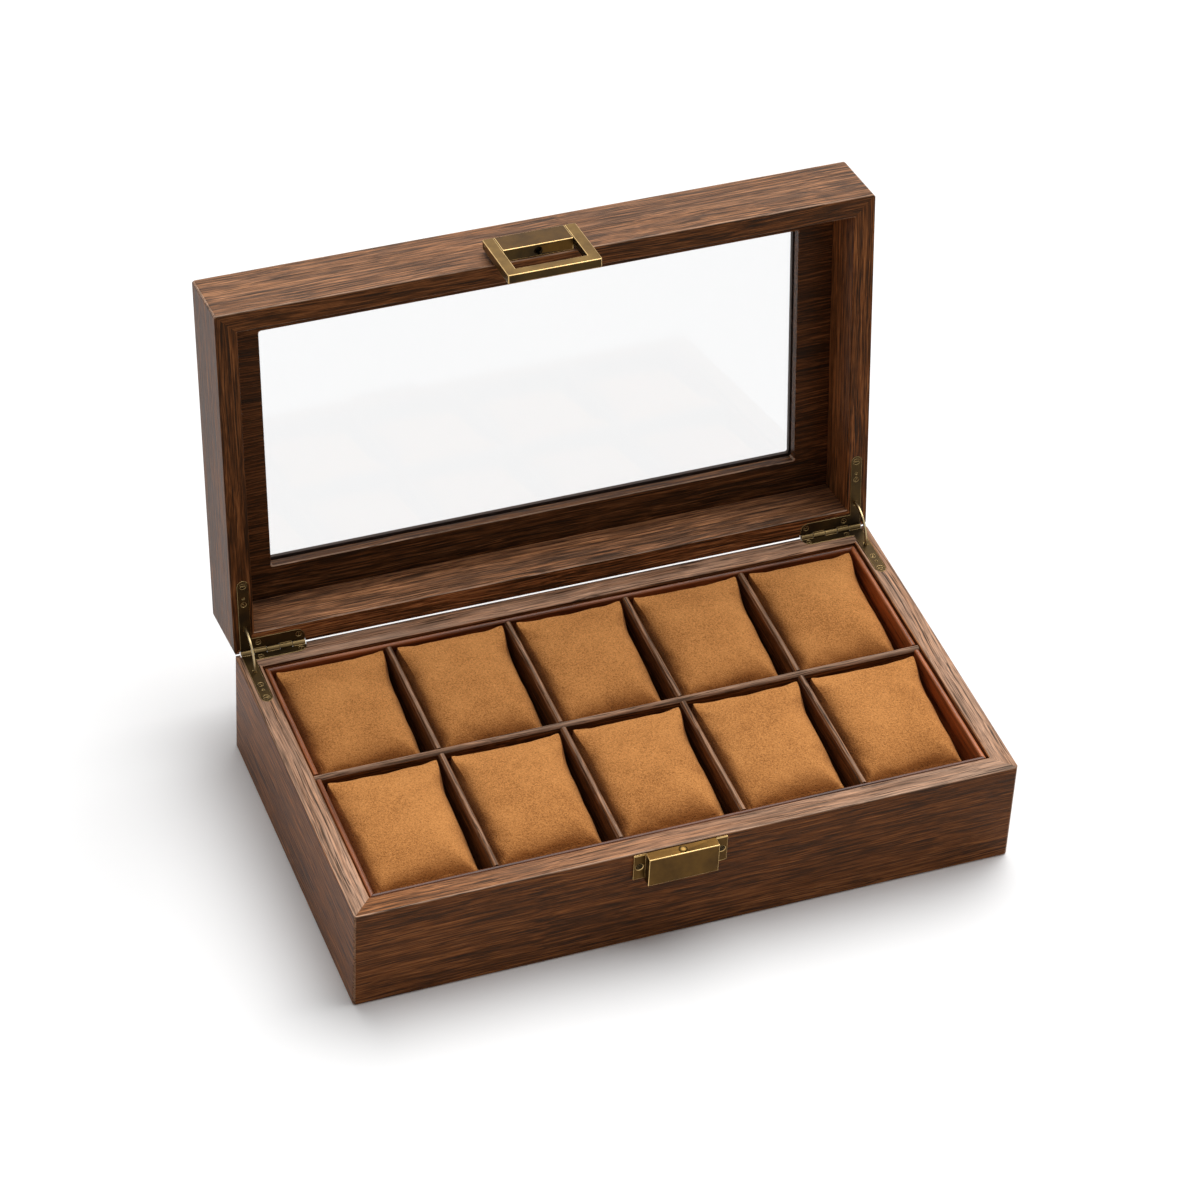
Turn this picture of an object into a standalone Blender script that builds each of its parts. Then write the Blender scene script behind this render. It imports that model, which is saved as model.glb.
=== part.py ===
"""Watch display case: a walnut box for ten watches, with a glazed lid that stands open.

The case lies along X, its front faces -Y and its underside is at z = 0. Lid pieces are modelled
with the lid shut and hang on an empty on the hinge axis, which then turns them open.
"""
import math

import bmesh
import bpy
from mathutils import Matrix, Vector

# Driving sizes, in metres
LENGTH = 0.300
DEPTH = 0.170
BASE_HEIGHT = 0.052
LID_HEIGHT = 0.034
WALL = 0.0095
LID_OPEN = math.radians(98)
RIM_GAP = 0.0004
FIT = 0.0003
COLUMNS = 5

# Roundings that the woodwork shares
CORNER_ROUND = 0.0014
EDGE_ROUND = 0.0012
RIM_ROUND = 0.0005
ARRIS = 0.0004
CORNER_STEPS = 4
EDGE_STEPS = 3
ROUND_SIDES = 16
SHARP_FROM = math.radians(40)
OVERRUN = 0.002

SIDES = {
    "front": Vector((0, -1, 0)),
    "back": Vector((0, 1, 0)),
    "left": Vector((-1, 0, 0)),
    "right": Vector((1, 0, 0)),
}


def clear_scene():
    for thing in list(bpy.data.objects):
        bpy.data.objects.remove(thing, do_unlink=True)
    for mesh in list(bpy.data.meshes):
        bpy.data.meshes.remove(mesh)


def material(name, colour, roughness, metallic=0.0, transmission=0.0):
    made = bpy.data.materials.new(name)
    made.use_nodes = True
    shader = made.node_tree.nodes["Principled BSDF"]
    shader.inputs["Base Color"].default_value = (*colour, 1.0)
    shader.inputs["Roughness"].default_value = roughness
    shader.inputs["Metallic"].default_value = metallic
    shader.inputs["Transmission Weight"].default_value = transmission
    return made


def pivot(name, spot, parent=None):
    """An empty on a joint's axis, placed with the lid shut."""
    empty = bpy.data.objects.new(name, None)
    bpy.context.scene.collection.objects.link(empty)
    empty.location = spot
    if parent:
        empty.parent = parent
        empty.location = Vector(spot) - Vector(parent["shut_place"])
    empty["shut_place"] = tuple(spot)
    return empty


def place(name, bm, look, parent=None, smooth=False):
    """Make an object of a mesh drawn with the lid shut, and hang it on its pivot."""
    bmesh.ops.recalc_face_normals(bm, faces=bm.faces[:])
    if parent:
        bm.transform(Matrix.Translation(-Vector(parent["shut_place"])))
    mesh = bpy.data.meshes.new(name)
    bm.to_mesh(mesh)
    bm.free()
    if look:
        mesh.materials.append(look)
    if smooth:
        mesh.shade_smooth()
        mesh.set_sharp_from_angle(angle=SHARP_FROM)
    made = bpy.data.objects.new(name, mesh)
    bpy.context.scene.collection.objects.link(made)
    made.parent = parent
    return made


def helper(name, bm, parent=None):
    """A solid that only shapes other pieces."""
    made = place(name, bm, None, parent)
    made.hide_render = True
    made.display_type = "WIRE"
    return made


def combine(piece, other, operation):
    step = piece.modifiers.new(other.name, "BOOLEAN")
    step.operation = operation
    step.solver = "EXACT"
    step.object = other


def arc(centre, radius, start, stop, steps):
    """Points of an arc, in degrees, as pairs."""
    points = []
    for k in range(steps + 1):
        angle = math.radians(start + (stop - start) * k / steps)
        points.append((centre[0] + radius * math.cos(angle), centre[1] + radius * math.sin(angle)))
    return points


def circle(centre, radius):
    """Points of a full circle, as pairs."""
    return arc(centre, radius, 0, 360, ROUND_SIDES)[:-1]


def rounded_rectangle(half_x, half_y, radius):
    """Outline of a rectangle about the origin, with each corner an arc."""
    points = []
    for quarter, (sx, sy) in enumerate(((1, 1), (-1, 1), (-1, -1), (1, -1))):
        centre = (sx * (half_x - radius), sy * (half_y - radius))
        points += arc(centre, radius, 90 * quarter, 90 * quarter + 90, CORNER_STEPS)
    return points


def stack(bm, loops, around):
    """Join loops of points with quads: the last to the first if around is set, else capped."""
    rings = [[bm.verts.new(point) for point in loop] for loop in loops]
    count = len(rings[0])
    pairs = list(zip(rings, rings[1:] + rings[:1])) if around else list(zip(rings, rings[1:]))
    for low, high in pairs:
        for k in range(count):
            after = (k + 1) % count
            bm.faces.new((low[k], low[after], high[after], high[k]))
    if not around:
        bm.faces.new(rings[0])
        bm.faces.new(rings[-1])


def frame_ring(half_x, half_y, section):
    """A four-sided frame, from its section of (inset, height, corner radius) points."""
    bm = bmesh.new()
    loops = []
    for inset, height, corner in section:
        outline = rounded_rectangle(half_x - inset, half_y - inset, corner)
        loops.append([(x, y, height) for x, y in outline])
    stack(bm, loops, True)
    return bm


def corner_of(inset):
    """Plan radius of a frame's corner at this distance in from its outer face."""
    return max(CORNER_ROUND - inset, ARRIS)


def keep_side(bm, point, normal):
    """Cut a closed mesh by a plane, keep what the normal points to, and close it."""
    parts = bm.verts[:] + bm.edges[:] + bm.faces[:]
    bmesh.ops.bisect_plane(bm, geom=parts, plane_co=point, plane_no=normal, clear_inner=True)
    bmesh.ops.holes_fill(bm, edges=[e for e in bm.edges if e.is_boundary], sides=0)


def mitred(bm, half_x, half_y, side):
    """One side of a frame, cut at 45 degrees at both ends with half the fit gap off each."""
    outward = SIDES[side]
    along = Vector((-outward.y, outward.x, 0))
    corner = Vector((half_x, half_y, 0))
    for end in (along, -along):
        tip = Vector((corner.x * (outward.x + end.x), corner.y * (outward.y + end.y), 0))
        normal = (outward - end).normalized()
        keep_side(bm, tip + normal * FIT / 2, normal)
    keep_side(bm, Vector((0, 0, 0)), outward)
    return bm


def slab(half_x, half_y, corner, low, high):
    bm = bmesh.new()
    outline = rounded_rectangle(half_x, half_y, corner)
    stack(bm, [[(x, y, z) for x, y in outline] for z in (low, high)], False)
    return bm


def add_box(bm, low, high):
    size = Vector(high) - Vector(low)
    shape = Matrix.Translation(Vector(low) + size / 2) @ Matrix.Diagonal((*size, 1))
    bmesh.ops.create_cube(bm, size=1, matrix=shape)


def add_prism(bm, outline, axis, low, high):
    """An outline swept along X, Y or Z; its pairs are the other two coordinates in order."""
    spread = {
        "X": lambda a, b, c: (c, a, b),
        "Y": lambda a, b, c: (a, c, b),
        "Z": lambda a, b, c: (a, b, c),
    }[axis]
    stack(bm, [[spread(a, b, end) for a, b in outline] for end in (low, high)], False)


def add_rod(bm, axis, centre, radius, low, high):
    """A round bar along X, Y or Z."""
    add_prism(bm, circle(centre, radius), axis, low, high)


# Materials
WALNUT = material("walnut", (0.105, 0.055, 0.032), 0.42)
LINER_WOOD = material("reddish_liner_wood", (0.22, 0.075, 0.032), 0.45)
SUEDE = material("camel_suede", (0.52, 0.25, 0.085), 0.95)
FELT = material("dark_felt", (0.03, 0.022, 0.018), 1.0)
GLASS = material("clear_glass", (0.95, 0.97, 0.97), 0.03, 0.0, 0.9)
BRASS = material("antique_brass", (0.33, 0.235, 0.1), 0.35, 1.0)
DARK_BRASS = material("dark_brass", (0.13, 0.1, 0.055), 0.42, 1.0)

# Floor and felt, let into a rabbet under the walls
FELT_THICK = 0.0010
FLOOR_THICK = 0.0040
FLOOR_RABBET = 0.0040
FOOT_ROUND = 0.0006
FLOOR_UNDER = FELT_THICK + FIT
FLOOR_TOP = FLOOR_UNDER + FLOOR_THICK
FLOOR_HALF_X = LENGTH / 2 - WALL + FLOOR_RABBET - FIT
FLOOR_HALF_Y = DEPTH / 2 - WALL + FLOOR_RABBET - FIT


def base_section():
    """Section of the base walls: foot, outer face, rim, inner face, rabbet."""
    rabbet = WALL - FLOOR_RABBET
    points = [(FOOT_ROUND, 0), (0, FOOT_ROUND)]
    rim_arc = arc((RIM_ROUND, BASE_HEIGHT - RIM_ROUND), RIM_ROUND, 180, 90, EDGE_STEPS)
    points += rim_arc + [
        (WALL - ARRIS, BASE_HEIGHT),
        (WALL, BASE_HEIGHT - ARRIS),
        (WALL, FLOOR_TOP + FIT),
        (rabbet, FLOOR_TOP + FIT),
        (rabbet, 0),
    ]
    return [(inset, height, corner_of(inset)) for inset, height in points]


def base_wall(side):
    ring = frame_ring(LENGTH / 2, DEPTH / 2, base_section())
    return place(f"base_{side}_wall", mitred(ring, LENGTH / 2, DEPTH / 2, side), WALNUT)


def base_floor():
    bm = slab(FLOOR_HALF_X, FLOOR_HALF_Y, ARRIS, FLOOR_UNDER, FLOOR_TOP)
    return place("base_floor", bm, WALNUT)


def base_felt():
    return place("base_felt", slab(FLOOR_HALF_X, FLOOR_HALF_Y, ARRIS, 0, FELT_THICK), FELT)


# Liner: thin strips that stand inside the walls, with a dark line behind them
LINER_THICK = 0.0022
LINER_GAP = 0.0008
LINER_DROP = 0.0009
LINER_OUT = WALL + LINER_GAP
LINER_IN = LINER_OUT + LINER_THICK
INSIDE_X = LENGTH / 2 - LINER_IN
INSIDE_Y = DEPTH / 2 - LINER_IN

# Dividers: one lengthwise, a little behind the middle, and four across, halved over it
DIVIDER = 0.0030
DIVIDER_BEHIND = 0.0015
LONG_DROP = 0.0006
CROSS_DROP = 0.0011
PITCH = (2 * INSIDE_X + DIVIDER) / COLUMNS
HALVING = FLOOR_TOP + (BASE_HEIGHT - FLOOR_TOP) / 2
CROSS_PLACES = [-INSIDE_X - DIVIDER / 2 + PITCH * k for k in range(1, COLUMNS)]


def liner_section():
    radius = LINER_THICK / 2
    top = BASE_HEIGHT - LINER_DROP
    crown = arc((LINER_OUT + radius, top - radius), radius, 180, 0, 2 * EDGE_STEPS)
    points = [(LINER_OUT, FLOOR_TOP + FIT)] + crown + [(LINER_IN, FLOOR_TOP + FIT)]
    return [(inset, height, corner_of(inset)) for inset, height in points]


def liner(side, half=None):
    """A liner strip; the two sideways ones are in halves, parted by the long divider."""
    ring = frame_ring(LENGTH / 2, DEPTH / 2, liner_section())
    strip = mitred(ring, LENGTH / 2, DEPTH / 2, side)
    name = f"liner_{side}"
    if half:
        outward = SIDES[half]
        edge = Vector((0, DIVIDER_BEHIND, 0)) + outward * (DIVIDER / 2 + FIT)
        keep_side(strip, edge, outward)
        name = f"liner_{side}_{half}"
    return place(name, strip, LINER_WOOD, None, True)


def rounded_top(middle, top):
    """Section of a divider: upright sides and a half-round top."""
    radius = DIVIDER / 2
    crown = arc((middle, top - radius), radius, 0, 180, 2 * EDGE_STEPS)
    return [(middle + radius, FLOOR_TOP + FIT)] + crown + [(middle - radius, FLOOR_TOP + FIT)]


def long_divider():
    bm = bmesh.new()
    half = LENGTH / 2 - WALL - FIT
    section = rounded_top(DIVIDER_BEHIND, BASE_HEIGHT - LONG_DROP)
    add_prism(bm, section, "X", -half, half)
    made = place("long_divider", bm, WALNUT, None, True)
    notches = bmesh.new()
    reach = DIVIDER / 2 + FIT
    for x in CROSS_PLACES:
        low = (x - reach, DIVIDER_BEHIND - DIVIDER, 0)
        high = (x + reach, DIVIDER_BEHIND + DIVIDER, HALVING + FIT / 2)
        add_box(notches, low, high)
    combine(made, helper("long_notches", notches), "DIFFERENCE")
    return made


def cross_divider(number, x):
    bm = bmesh.new()
    half = INSIDE_Y - FIT
    section = rounded_top(x, BASE_HEIGHT - CROSS_DROP)
    add_prism(bm, section, "Y", -half, half)
    made = place(f"cross_divider_{number}", bm, WALNUT, None, True)
    notch = bmesh.new()
    reach = DIVIDER / 2 + FIT
    low = (x - DIVIDER, DIVIDER_BEHIND - reach, HALVING - FIT / 2)
    high = (x + DIVIDER, DIVIDER_BEHIND + reach, BASE_HEIGHT + OVERRUN)
    add_box(notch, low, high)
    combine(made, helper(f"cross_notch_{number}", notch), "DIFFERENCE")
    return made


# Cushions: soft pillows that lift out, one in each compartment
CUSHION_SIDE_GAP = 0.0006
CUSHION_END_GAP = 0.0008
CUSHION_RISE = 0.0008
SIDE_DRAW_SHARE = 0.050
END_DRAW_SHARE = 0.020
FRONT_DRAW_SHARE = 0.080
SEAM_DROP_SHARE = 0.10
FRONT_DROP_SHARE = 0.14
EAR_RISE_SHARE = 0.05
CROWN_SPREAD = 2.4
CROWN_FULLNESS = 0.75
DRAW_SPREAD = 6
EAR_REACH = 8
PLAN_SQUARENESS = 30
SIDE_SQUARENESS = 8
BACK_SQUARENESS = 30
EAR_SQUARENESS = 45
CUSHION_CUTS = 7
CUSHION_X = (PITCH - DIVIDER) / 2 - CUSHION_SIDE_GAP
ROW_Y = (INSIDE_Y - abs(DIVIDER_BEHIND) - DIVIDER / 2) / 2
CUSHION_Y = ROW_Y - CUSHION_END_GAP
CUSHION_TOP = BASE_HEIGHT + CUSHION_RISE
CUSHION_Z = (CUSHION_TOP - FLOOR_TOP - FIT) / 2
ROWS = {
    "back": (DIVIDER_BEHIND + DIVIDER / 2 + INSIDE_Y) / 2,
    "front": (DIVIDER_BEHIND - DIVIDER / 2 - INSIDE_Y) / 2,
}


def top_share(a, b, ear, front):
    """How high the top lies here: full in the middle, low in front, up at the two ears behind."""
    swell = max(0.0, 1 - abs(a) ** CROWN_SPREAD) * max(0.0, 1 - abs(b) ** CROWN_SPREAD)
    low = SEAM_DROP_SHARE * (1 - swell ** CROWN_FULLNESS) + FRONT_DROP_SHARE * front
    return 1 - low + EAR_RISE_SHARE * ear


def pillow_point(co):
    """Shape a cube's surface point into a pillow with two pointed ears behind."""
    co = Vector([math.sin(share * math.pi / 2) for share in co])
    plan = PLAN_SQUARENESS
    reach = (abs(co.x) ** plan + abs(co.y) ** plan) ** (1 / plan)
    back = max(co.y, 0) ** EAR_REACH
    front = ((1 - co.y) / 2) ** 2
    ear = back * abs(co.x) ** EAR_REACH
    section = SIDE_SQUARENESS + (BACK_SQUARENESS - SIDE_SQUARENESS) * back
    section += (EAR_SQUARENESS - BACK_SQUARENESS) * ear
    norm = (reach ** section + abs(co.z) ** section) ** (1 / section)
    a, b, c = co.x / norm, co.y / norm, co.z / norm
    width = 1 - SIDE_DRAW_SHARE * (1 - abs(b) ** DRAW_SPREAD) - FRONT_DRAW_SHARE * front
    depth = 1 - END_DRAW_SHARE * (1 - a * a)
    height = top_share(a, b, ear, front) if c > 0 else 1
    return Vector((a * CUSHION_X * width, b * CUSHION_Y * depth, c * CUSHION_Z * height))


def pillow_mesh():
    bm = bmesh.new()
    bmesh.ops.create_cube(bm, size=2)
    bmesh.ops.subdivide_edges(bm, edges=bm.edges[:], cuts=CUSHION_CUTS, use_grid_fill=True)
    for vert in bm.verts:
        vert.co = pillow_point(vert.co)
    mesh = bpy.data.meshes.new("pillow")
    bm.to_mesh(mesh)
    bm.free()
    mesh.materials.append(SUEDE)
    mesh.shade_smooth()
    return mesh


def cushions():
    pillow = pillow_mesh()
    for row, y in ROWS.items():
        for k in range(COLUMNS):
            made = bpy.data.objects.new(f"cushion_{row}_{k + 1}", pillow)
            x = -INSIDE_X + PITCH * k + (PITCH - DIVIDER) / 2
            made.location = (x, y, FLOOR_TOP + FIT + CUSHION_Z)
            bpy.context.scene.collection.objects.link(made)


# Lid: walls, with a panel let into a rabbet round their top and a window cut in the panel
LID_RIM = BASE_HEIGHT + RIM_GAP
LID_TOP = LID_RIM + LID_HEIGHT
PANEL = 0.0095
LID_RABBET = 0.0035
PANEL_MARGIN = 0.0160
WINDOW_CORNER = 0.0012
LIP = 0.0046
PANE = 0.0020
PANE_BITE = 0.0040
PANEL_UNDER = LID_TOP - PANEL
PANEL_OUT = WALL - LID_RABBET + FIT
WINDOW_IN = WALL + PANEL_MARGIN
PANE_UNDER = PANEL_UNDER + LIP + FIT
PANE_TOP = PANE_UNDER + PANE
HINGE_BEHIND = 0.00025
HINGE_Y = DEPTH / 2 + HINGE_BEHIND
HINGE_Z = BASE_HEIGHT + RIM_GAP / 2


def lid_section():
    """Section of the lid walls: rim, outer face, rounded top, rabbet, inner face."""
    rabbet = WALL - LID_RABBET
    low_arc = arc((RIM_ROUND, LID_RIM + RIM_ROUND), RIM_ROUND, 270, 180, EDGE_STEPS)
    high_arc = arc((EDGE_ROUND, LID_TOP - EDGE_ROUND), EDGE_ROUND, 180, 90, EDGE_STEPS)
    points = low_arc + high_arc + [
        (rabbet, LID_TOP),
        (rabbet, PANEL_UNDER - FIT),
        (WALL, PANEL_UNDER - FIT),
        (WALL, LID_RIM + ARRIS),
        (WALL - ARRIS, LID_RIM),
    ]
    return [(inset, height, corner_of(inset)) for inset, height in points]


def lid_wall(side, lid):
    ring = frame_ring(LENGTH / 2, DEPTH / 2, lid_section())
    bm = mitred(ring, LENGTH / 2, DEPTH / 2, side)
    return place(f"lid_{side}_wall", bm, WALNUT, lid)


def panel_section():
    """Section of the window panel: one board with a rabbet for the pane round its opening."""
    seat = WINDOW_IN - PANE_BITE
    seat_corner = WINDOW_CORNER + PANE_BITE
    return [
        (PANEL_OUT, PANEL_UNDER, ARRIS),
        (PANEL_OUT, LID_TOP - ARRIS, ARRIS),
        (PANEL_OUT + ARRIS, LID_TOP, ARRIS),
        (seat, LID_TOP, seat_corner),
        (seat, PANEL_UNDER + LIP, seat_corner),
        (WINDOW_IN, PANEL_UNDER + LIP, WINDOW_CORNER),
        (WINDOW_IN, PANEL_UNDER + ARRIS, WINDOW_CORNER),
        (WINDOW_IN - ARRIS, PANEL_UNDER, WINDOW_CORNER),
    ]


def window_panel(lid):
    bm = frame_ring(LENGTH / 2, DEPTH / 2, panel_section())
    return place("window_panel", bm, WALNUT, lid)


def glass_pane(lid):
    inset = WINDOW_IN - PANE_BITE + FIT
    corner = WINDOW_CORNER + PANE_BITE - FIT
    bm = slab(LENGTH / 2 - inset, DEPTH / 2 - inset, corner, PANE_UNDER, PANE_TOP)
    return place("glass_pane", bm, GLASS, lid)


def glazing_bead(side, lid):
    """A strip that holds the pane down from outside, flush with the panel."""
    outer = WINDOW_IN - PANE_BITE + FIT
    outer_corner = WINDOW_CORNER + PANE_BITE - FIT
    section = [
        (outer, PANE_TOP + FIT, outer_corner),
        (outer, LID_TOP, outer_corner),
        (WINDOW_IN - ARRIS, LID_TOP, WINDOW_CORNER),
        (WINDOW_IN, LID_TOP - ARRIS, WINDOW_CORNER),
        (WINDOW_IN, PANE_TOP + FIT, WINDOW_CORNER),
    ]
    ring = frame_ring(LENGTH / 2, DEPTH / 2, section)
    bm = mitred(ring, LENGTH / 2, DEPTH / 2, side)
    return place(f"glazing_bead_{side}", bm, WALNUT, lid)


# Hinges: quadrant hinges let flush into both rims, with a curved stay arm in each. The lid's
# leaves have longer legs than the base's.
BARREL = 0.0294
HINGE_INSET = 0.0028
KNUCKLES = 5
KNUCKLE_RADIUS = 0.0014
PIN_RADIUS = 0.0005
LEAF = 0.0011
BASE_SIDE_LEG = 0.0326
LID_SIDE_LEG = 0.0374
SIDE_LEGS = {"base": BASE_SIDE_LEG, "lid": LID_SIDE_LEG}
SIDE_LEG_WIDTH = 0.0052
BASE_BACK_LEG = 0.0053
LID_BACK_LEG = 0.0068
BACK_LEGS = {"base": BASE_BACK_LEG, "lid": LID_BACK_LEG}
LEG_CORNER = 0.0034
TAB_INSET = 0.0001
TAB_BITE = 0.0009
STAY_RADIUS = 0.0126
STAY_WIDTH = 0.0016
STAY_THICK = 0.0008
STAY_TAIL = 8
STAY_STEPS = 16
SCREW_LENGTH = 0.0070
SCREW_HEAD_RADIUS = 0.0013
SCREW_HEAD = 0.0008
SCREW_SHANK_RADIUS = 0.0008
ENDS = {"left": -1, "right": 1}


def hinge_x(end, along):
    """X of a point on a hinge, from its distance in from the hinge's outer edge."""
    return ENDS[end] * (LENGTH / 2 - HINGE_INSET - along)


def leaf_outline(half, end, grow, start):
    """L-shaped outline of a leaf in plan, grown all round, from this far before the axis."""
    radius = SIDE_LEG_WIDTH / 2
    reach = BACK_LEGS[half]
    side_end = arc((radius, SIDE_LEGS[half] - radius), radius + grow, 180, 0, 2 * EDGE_STEPS)
    corner = (BARREL - LEG_CORNER, reach - LEG_CORNER)
    back_end = arc(corner, LEG_CORNER + grow, 90, 0, EDGE_STEPS)
    outline = [(-grow, start)] + side_end
    outline += [(SIDE_LEG_WIDTH + grow, reach + grow)] + back_end + [(BARREL + grow, start)]
    return [(hinge_x(end, along), HINGE_Y - forward) for along, forward in outline]


def from_rim(up, near, far):
    """Heights at two depths into a rim: the base's (up -1) or the lid's (up 1)."""
    rim = HINGE_Z + up * RIM_GAP / 2
    return sorted((rim + up * near, rim + up * far))


def knuckle_spans(end, first):
    """X ranges of every other knuckle, from this one on."""
    length = BARREL / KNUCKLES
    spans = []
    for k in range(first, KNUCKLES, 2):
        ends = (hinge_x(end, k * length + FIT / 2), hinge_x(end, (k + 1) * length - FIT / 2))
        spans.append(sorted(ends))
    return spans


def knuckles(end, up, first):
    """A leaf's own knuckles, each with the tab that roots it in the leaf."""
    bm = bmesh.new()
    low, high = from_rim(up, TAB_INSET, LEAF - TAB_INSET)
    root = KNUCKLE_RADIUS + FIT + TAB_BITE
    rise_low, rise_high = low - HINGE_Z, high - HINGE_Z
    reach_low = math.sqrt(KNUCKLE_RADIUS ** 2 - rise_low ** 2)
    reach_high = math.sqrt(KNUCKLE_RADIUS ** 2 - rise_high ** 2)
    start = 180 - math.degrees(math.atan2(rise_high, reach_high))
    stop = -180 - math.degrees(math.atan2(rise_low, reach_low))
    wheel = arc((HINGE_Y, HINGE_Z), KNUCKLE_RADIUS, start, stop, ROUND_SIDES)
    outline = [(HINGE_Y - root, high)] + wheel + [(HINGE_Y - root, low)]
    for near, far in knuckle_spans(end, first):
        add_prism(bm, outline, "X", near, far)
    return bm


def stay_slot(end, up):
    """Opening through a leaf for the stay, as a box's low and high corners."""
    middle = hinge_x(end, SIDE_LEG_WIDTH / 2)
    low, high = from_rim(up, -OVERRUN, LEAF + OVERRUN)
    reach = STAY_THICK / 2 + FIT
    away = STAY_WIDTH / 2 + FIT
    return (
        (middle - reach, HINGE_Y - STAY_RADIUS - away, low),
        (middle + reach, HINGE_Y - STAY_RADIUS + away, high),
    )


def screw_spot(half, end):
    """Plan place of the screw in the round end of a leaf's side leg."""
    return (hinge_x(end, SIDE_LEG_WIDTH / 2), HINGE_Y - SIDE_LEGS[half] + SIDE_LEG_WIDTH / 2)


def hinge_leaf(half, end, up, parent):
    first = 0 if half == "base" else 1
    plate = bmesh.new()
    low, high = from_rim(up, 0, LEAF)
    add_prism(plate, leaf_outline(half, end, 0, KNUCKLE_RADIUS + FIT), "Z", low, high)
    made = place(f"hinge_leaf_{half}_{end}", plate, DARK_BRASS, parent)
    rolled = helper(f"knuckles_{half}_{end}", knuckles(end, up, first), parent)
    combine(made, rolled, "UNION")
    holes = bmesh.new()
    start, stop = hinge_x(end, -OVERRUN), hinge_x(end, BARREL + OVERRUN)
    add_rod(holes, "X", (HINGE_Y, HINGE_Z), PIN_RADIUS + FIT, start, stop)
    add_box(holes, *stay_slot(end, up))
    low, high = from_rim(up, -OVERRUN, LEAF + OVERRUN)
    add_rod(holes, "Z", screw_spot(half, end), SCREW_HEAD_RADIUS + FIT, low, high)
    combine(made, helper(f"leaf_holes_{half}_{end}", holes, parent), "DIFFERENCE")


def hinge_pin(end):
    bm = bmesh.new()
    start, stop = hinge_x(end, 0), hinge_x(end, BARREL)
    add_rod(bm, "X", (HINGE_Y, HINGE_Z), PIN_RADIUS, start, stop)
    return place(f"hinge_pin_{end}", bm, DARK_BRASS, None, True)


def hinge_recess(half, end, up, walls, parent):
    """Let one leaf, its barrel, stay and screw into the walls that they cross."""
    recess = bmesh.new()
    low, high = from_rim(up, -OVERRUN, LEAF + FIT)
    add_prism(recess, leaf_outline(half, end, FIT, -OVERRUN), "Z", low, high)
    channel = bmesh.new()
    start, stop = hinge_x(end, -FIT - TAB_INSET), hinge_x(end, BARREL + FIT + TAB_INSET)
    add_rod(channel, "X", (HINGE_Y, HINGE_Z), KNUCKLE_RADIUS + FIT, start, stop)
    cutters = [
        helper(f"recess_{half}_{end}", recess, parent),
        helper(f"channel_{half}_{end}", channel, parent),
    ]
    for wall in walls:
        for cutter in cutters:
            combine(wall, cutter, "DIFFERENCE")


def side_mortises(half, end, up, wall, parent):
    """The pocket that the stay slides into, and the hole for the leaf's screw."""
    bm = bmesh.new()
    (low_x, _, _), (high_x, _, _) = stay_slot(end, up)
    outer = STAY_RADIUS + STAY_WIDTH / 2
    swing = LID_OPEN / 2 + math.radians(STAY_TAIL)
    near = (STAY_RADIUS - STAY_WIDTH / 2) * math.cos(swing) - FIT
    low, high = from_rim(up, 0, outer * math.sin(swing) + FIT)
    add_box(bm, (low_x, HINGE_Y - outer - FIT, low), (high_x, HINGE_Y - near, high))
    low, high = from_rim(up, 0, SCREW_LENGTH + FIT)
    add_rod(bm, "Z", screw_spot(half, end), SCREW_SHANK_RADIUS + FIT, low, high)
    combine(wall, helper(f"mortises_{half}_{end}", bm, parent), "DIFFERENCE")


def hinge_stay(end, lid_angle):
    """The curved arm that stops the lid, drawn where it stands with the lid open."""
    name = f"hinge_stay_{end}"
    axis = pivot(f"{name}_axis", (0, HINGE_Y, HINGE_Z))
    inner, outer = STAY_RADIUS - STAY_WIDTH / 2, STAY_RADIUS + STAY_WIDTH / 2
    start, stop = 180 + STAY_TAIL, 180 - math.degrees(lid_angle) - STAY_TAIL
    outline = arc((HINGE_Y, HINGE_Z), outer, start, stop, STAY_STEPS)
    outline += arc((HINGE_Y, HINGE_Z), inner, stop, start, STAY_STEPS)
    middle = hinge_x(end, SIDE_LEG_WIDTH / 2)
    bm = bmesh.new()
    add_prism(bm, outline, "X", middle - STAY_THICK / 2, middle + STAY_THICK / 2)
    return place(name, bm, BRASS, axis)


def turned_screw(centre, axis, face, into):
    """A flush screw: its head starts at face and its shank runs in the direction of into."""
    bm = bmesh.new()
    profile = [
        (SCREW_HEAD_RADIUS, 0),
        (SCREW_HEAD_RADIUS, SCREW_HEAD / 2),
        (SCREW_SHANK_RADIUS, SCREW_HEAD),
        (SCREW_SHANK_RADIUS, SCREW_LENGTH),
    ]
    loops = []
    for radius, depth in profile:
        level = face + into * depth
        ring = circle(centre, radius)
        loops.append([(a, b, level) if axis == "Z" else (a, level, b) for a, b in ring])
    stack(bm, loops, False)
    return bm


def hinge_screw(half, end, up, parent):
    face = HINGE_Z + up * RIM_GAP / 2
    bm = turned_screw(screw_spot(half, end), "Z", face, up)
    return place(f"hinge_screw_{half}_{end}", bm, DARK_BRASS, parent, True)


# Latch: a catch on the base, a block on the lid and a bail that drops round the catch
LATCH_X = -0.0060
LATCH_WIDTH = 0.0318
CATCH_TALL = 0.0150
CATCH_PROUD = 0.0054
CATCH_DROP = 0.0004
FLANGE = 0.0008
FLANGE_REACH = 0.0053
FLANGE_TALL = 0.0136
BLOCK_TALL = 0.0122
BLOCK_PROUD = 0.0060
BAIL_WIDTH = 0.0050
BAIL_THICK = 0.0042
BAIL_BELOW = 0.0003
BAIL_CORNER = 0.0008
BAIL_SWING_CLEAR = 0.0004
LATCH_PIN_RADIUS = 0.0008
NUB_RADIUS = 0.0017
NUB_PROUD = 0.0007
NUB_DEEP = 0.0050
NUB_TRAVEL = 0.0008
NUB_NOSE_TURN = 72
NUB_HOLE_DEEP = 0.0030
SINK = 0.0002
WOOD_FRONT = -DEPTH / 2
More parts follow.
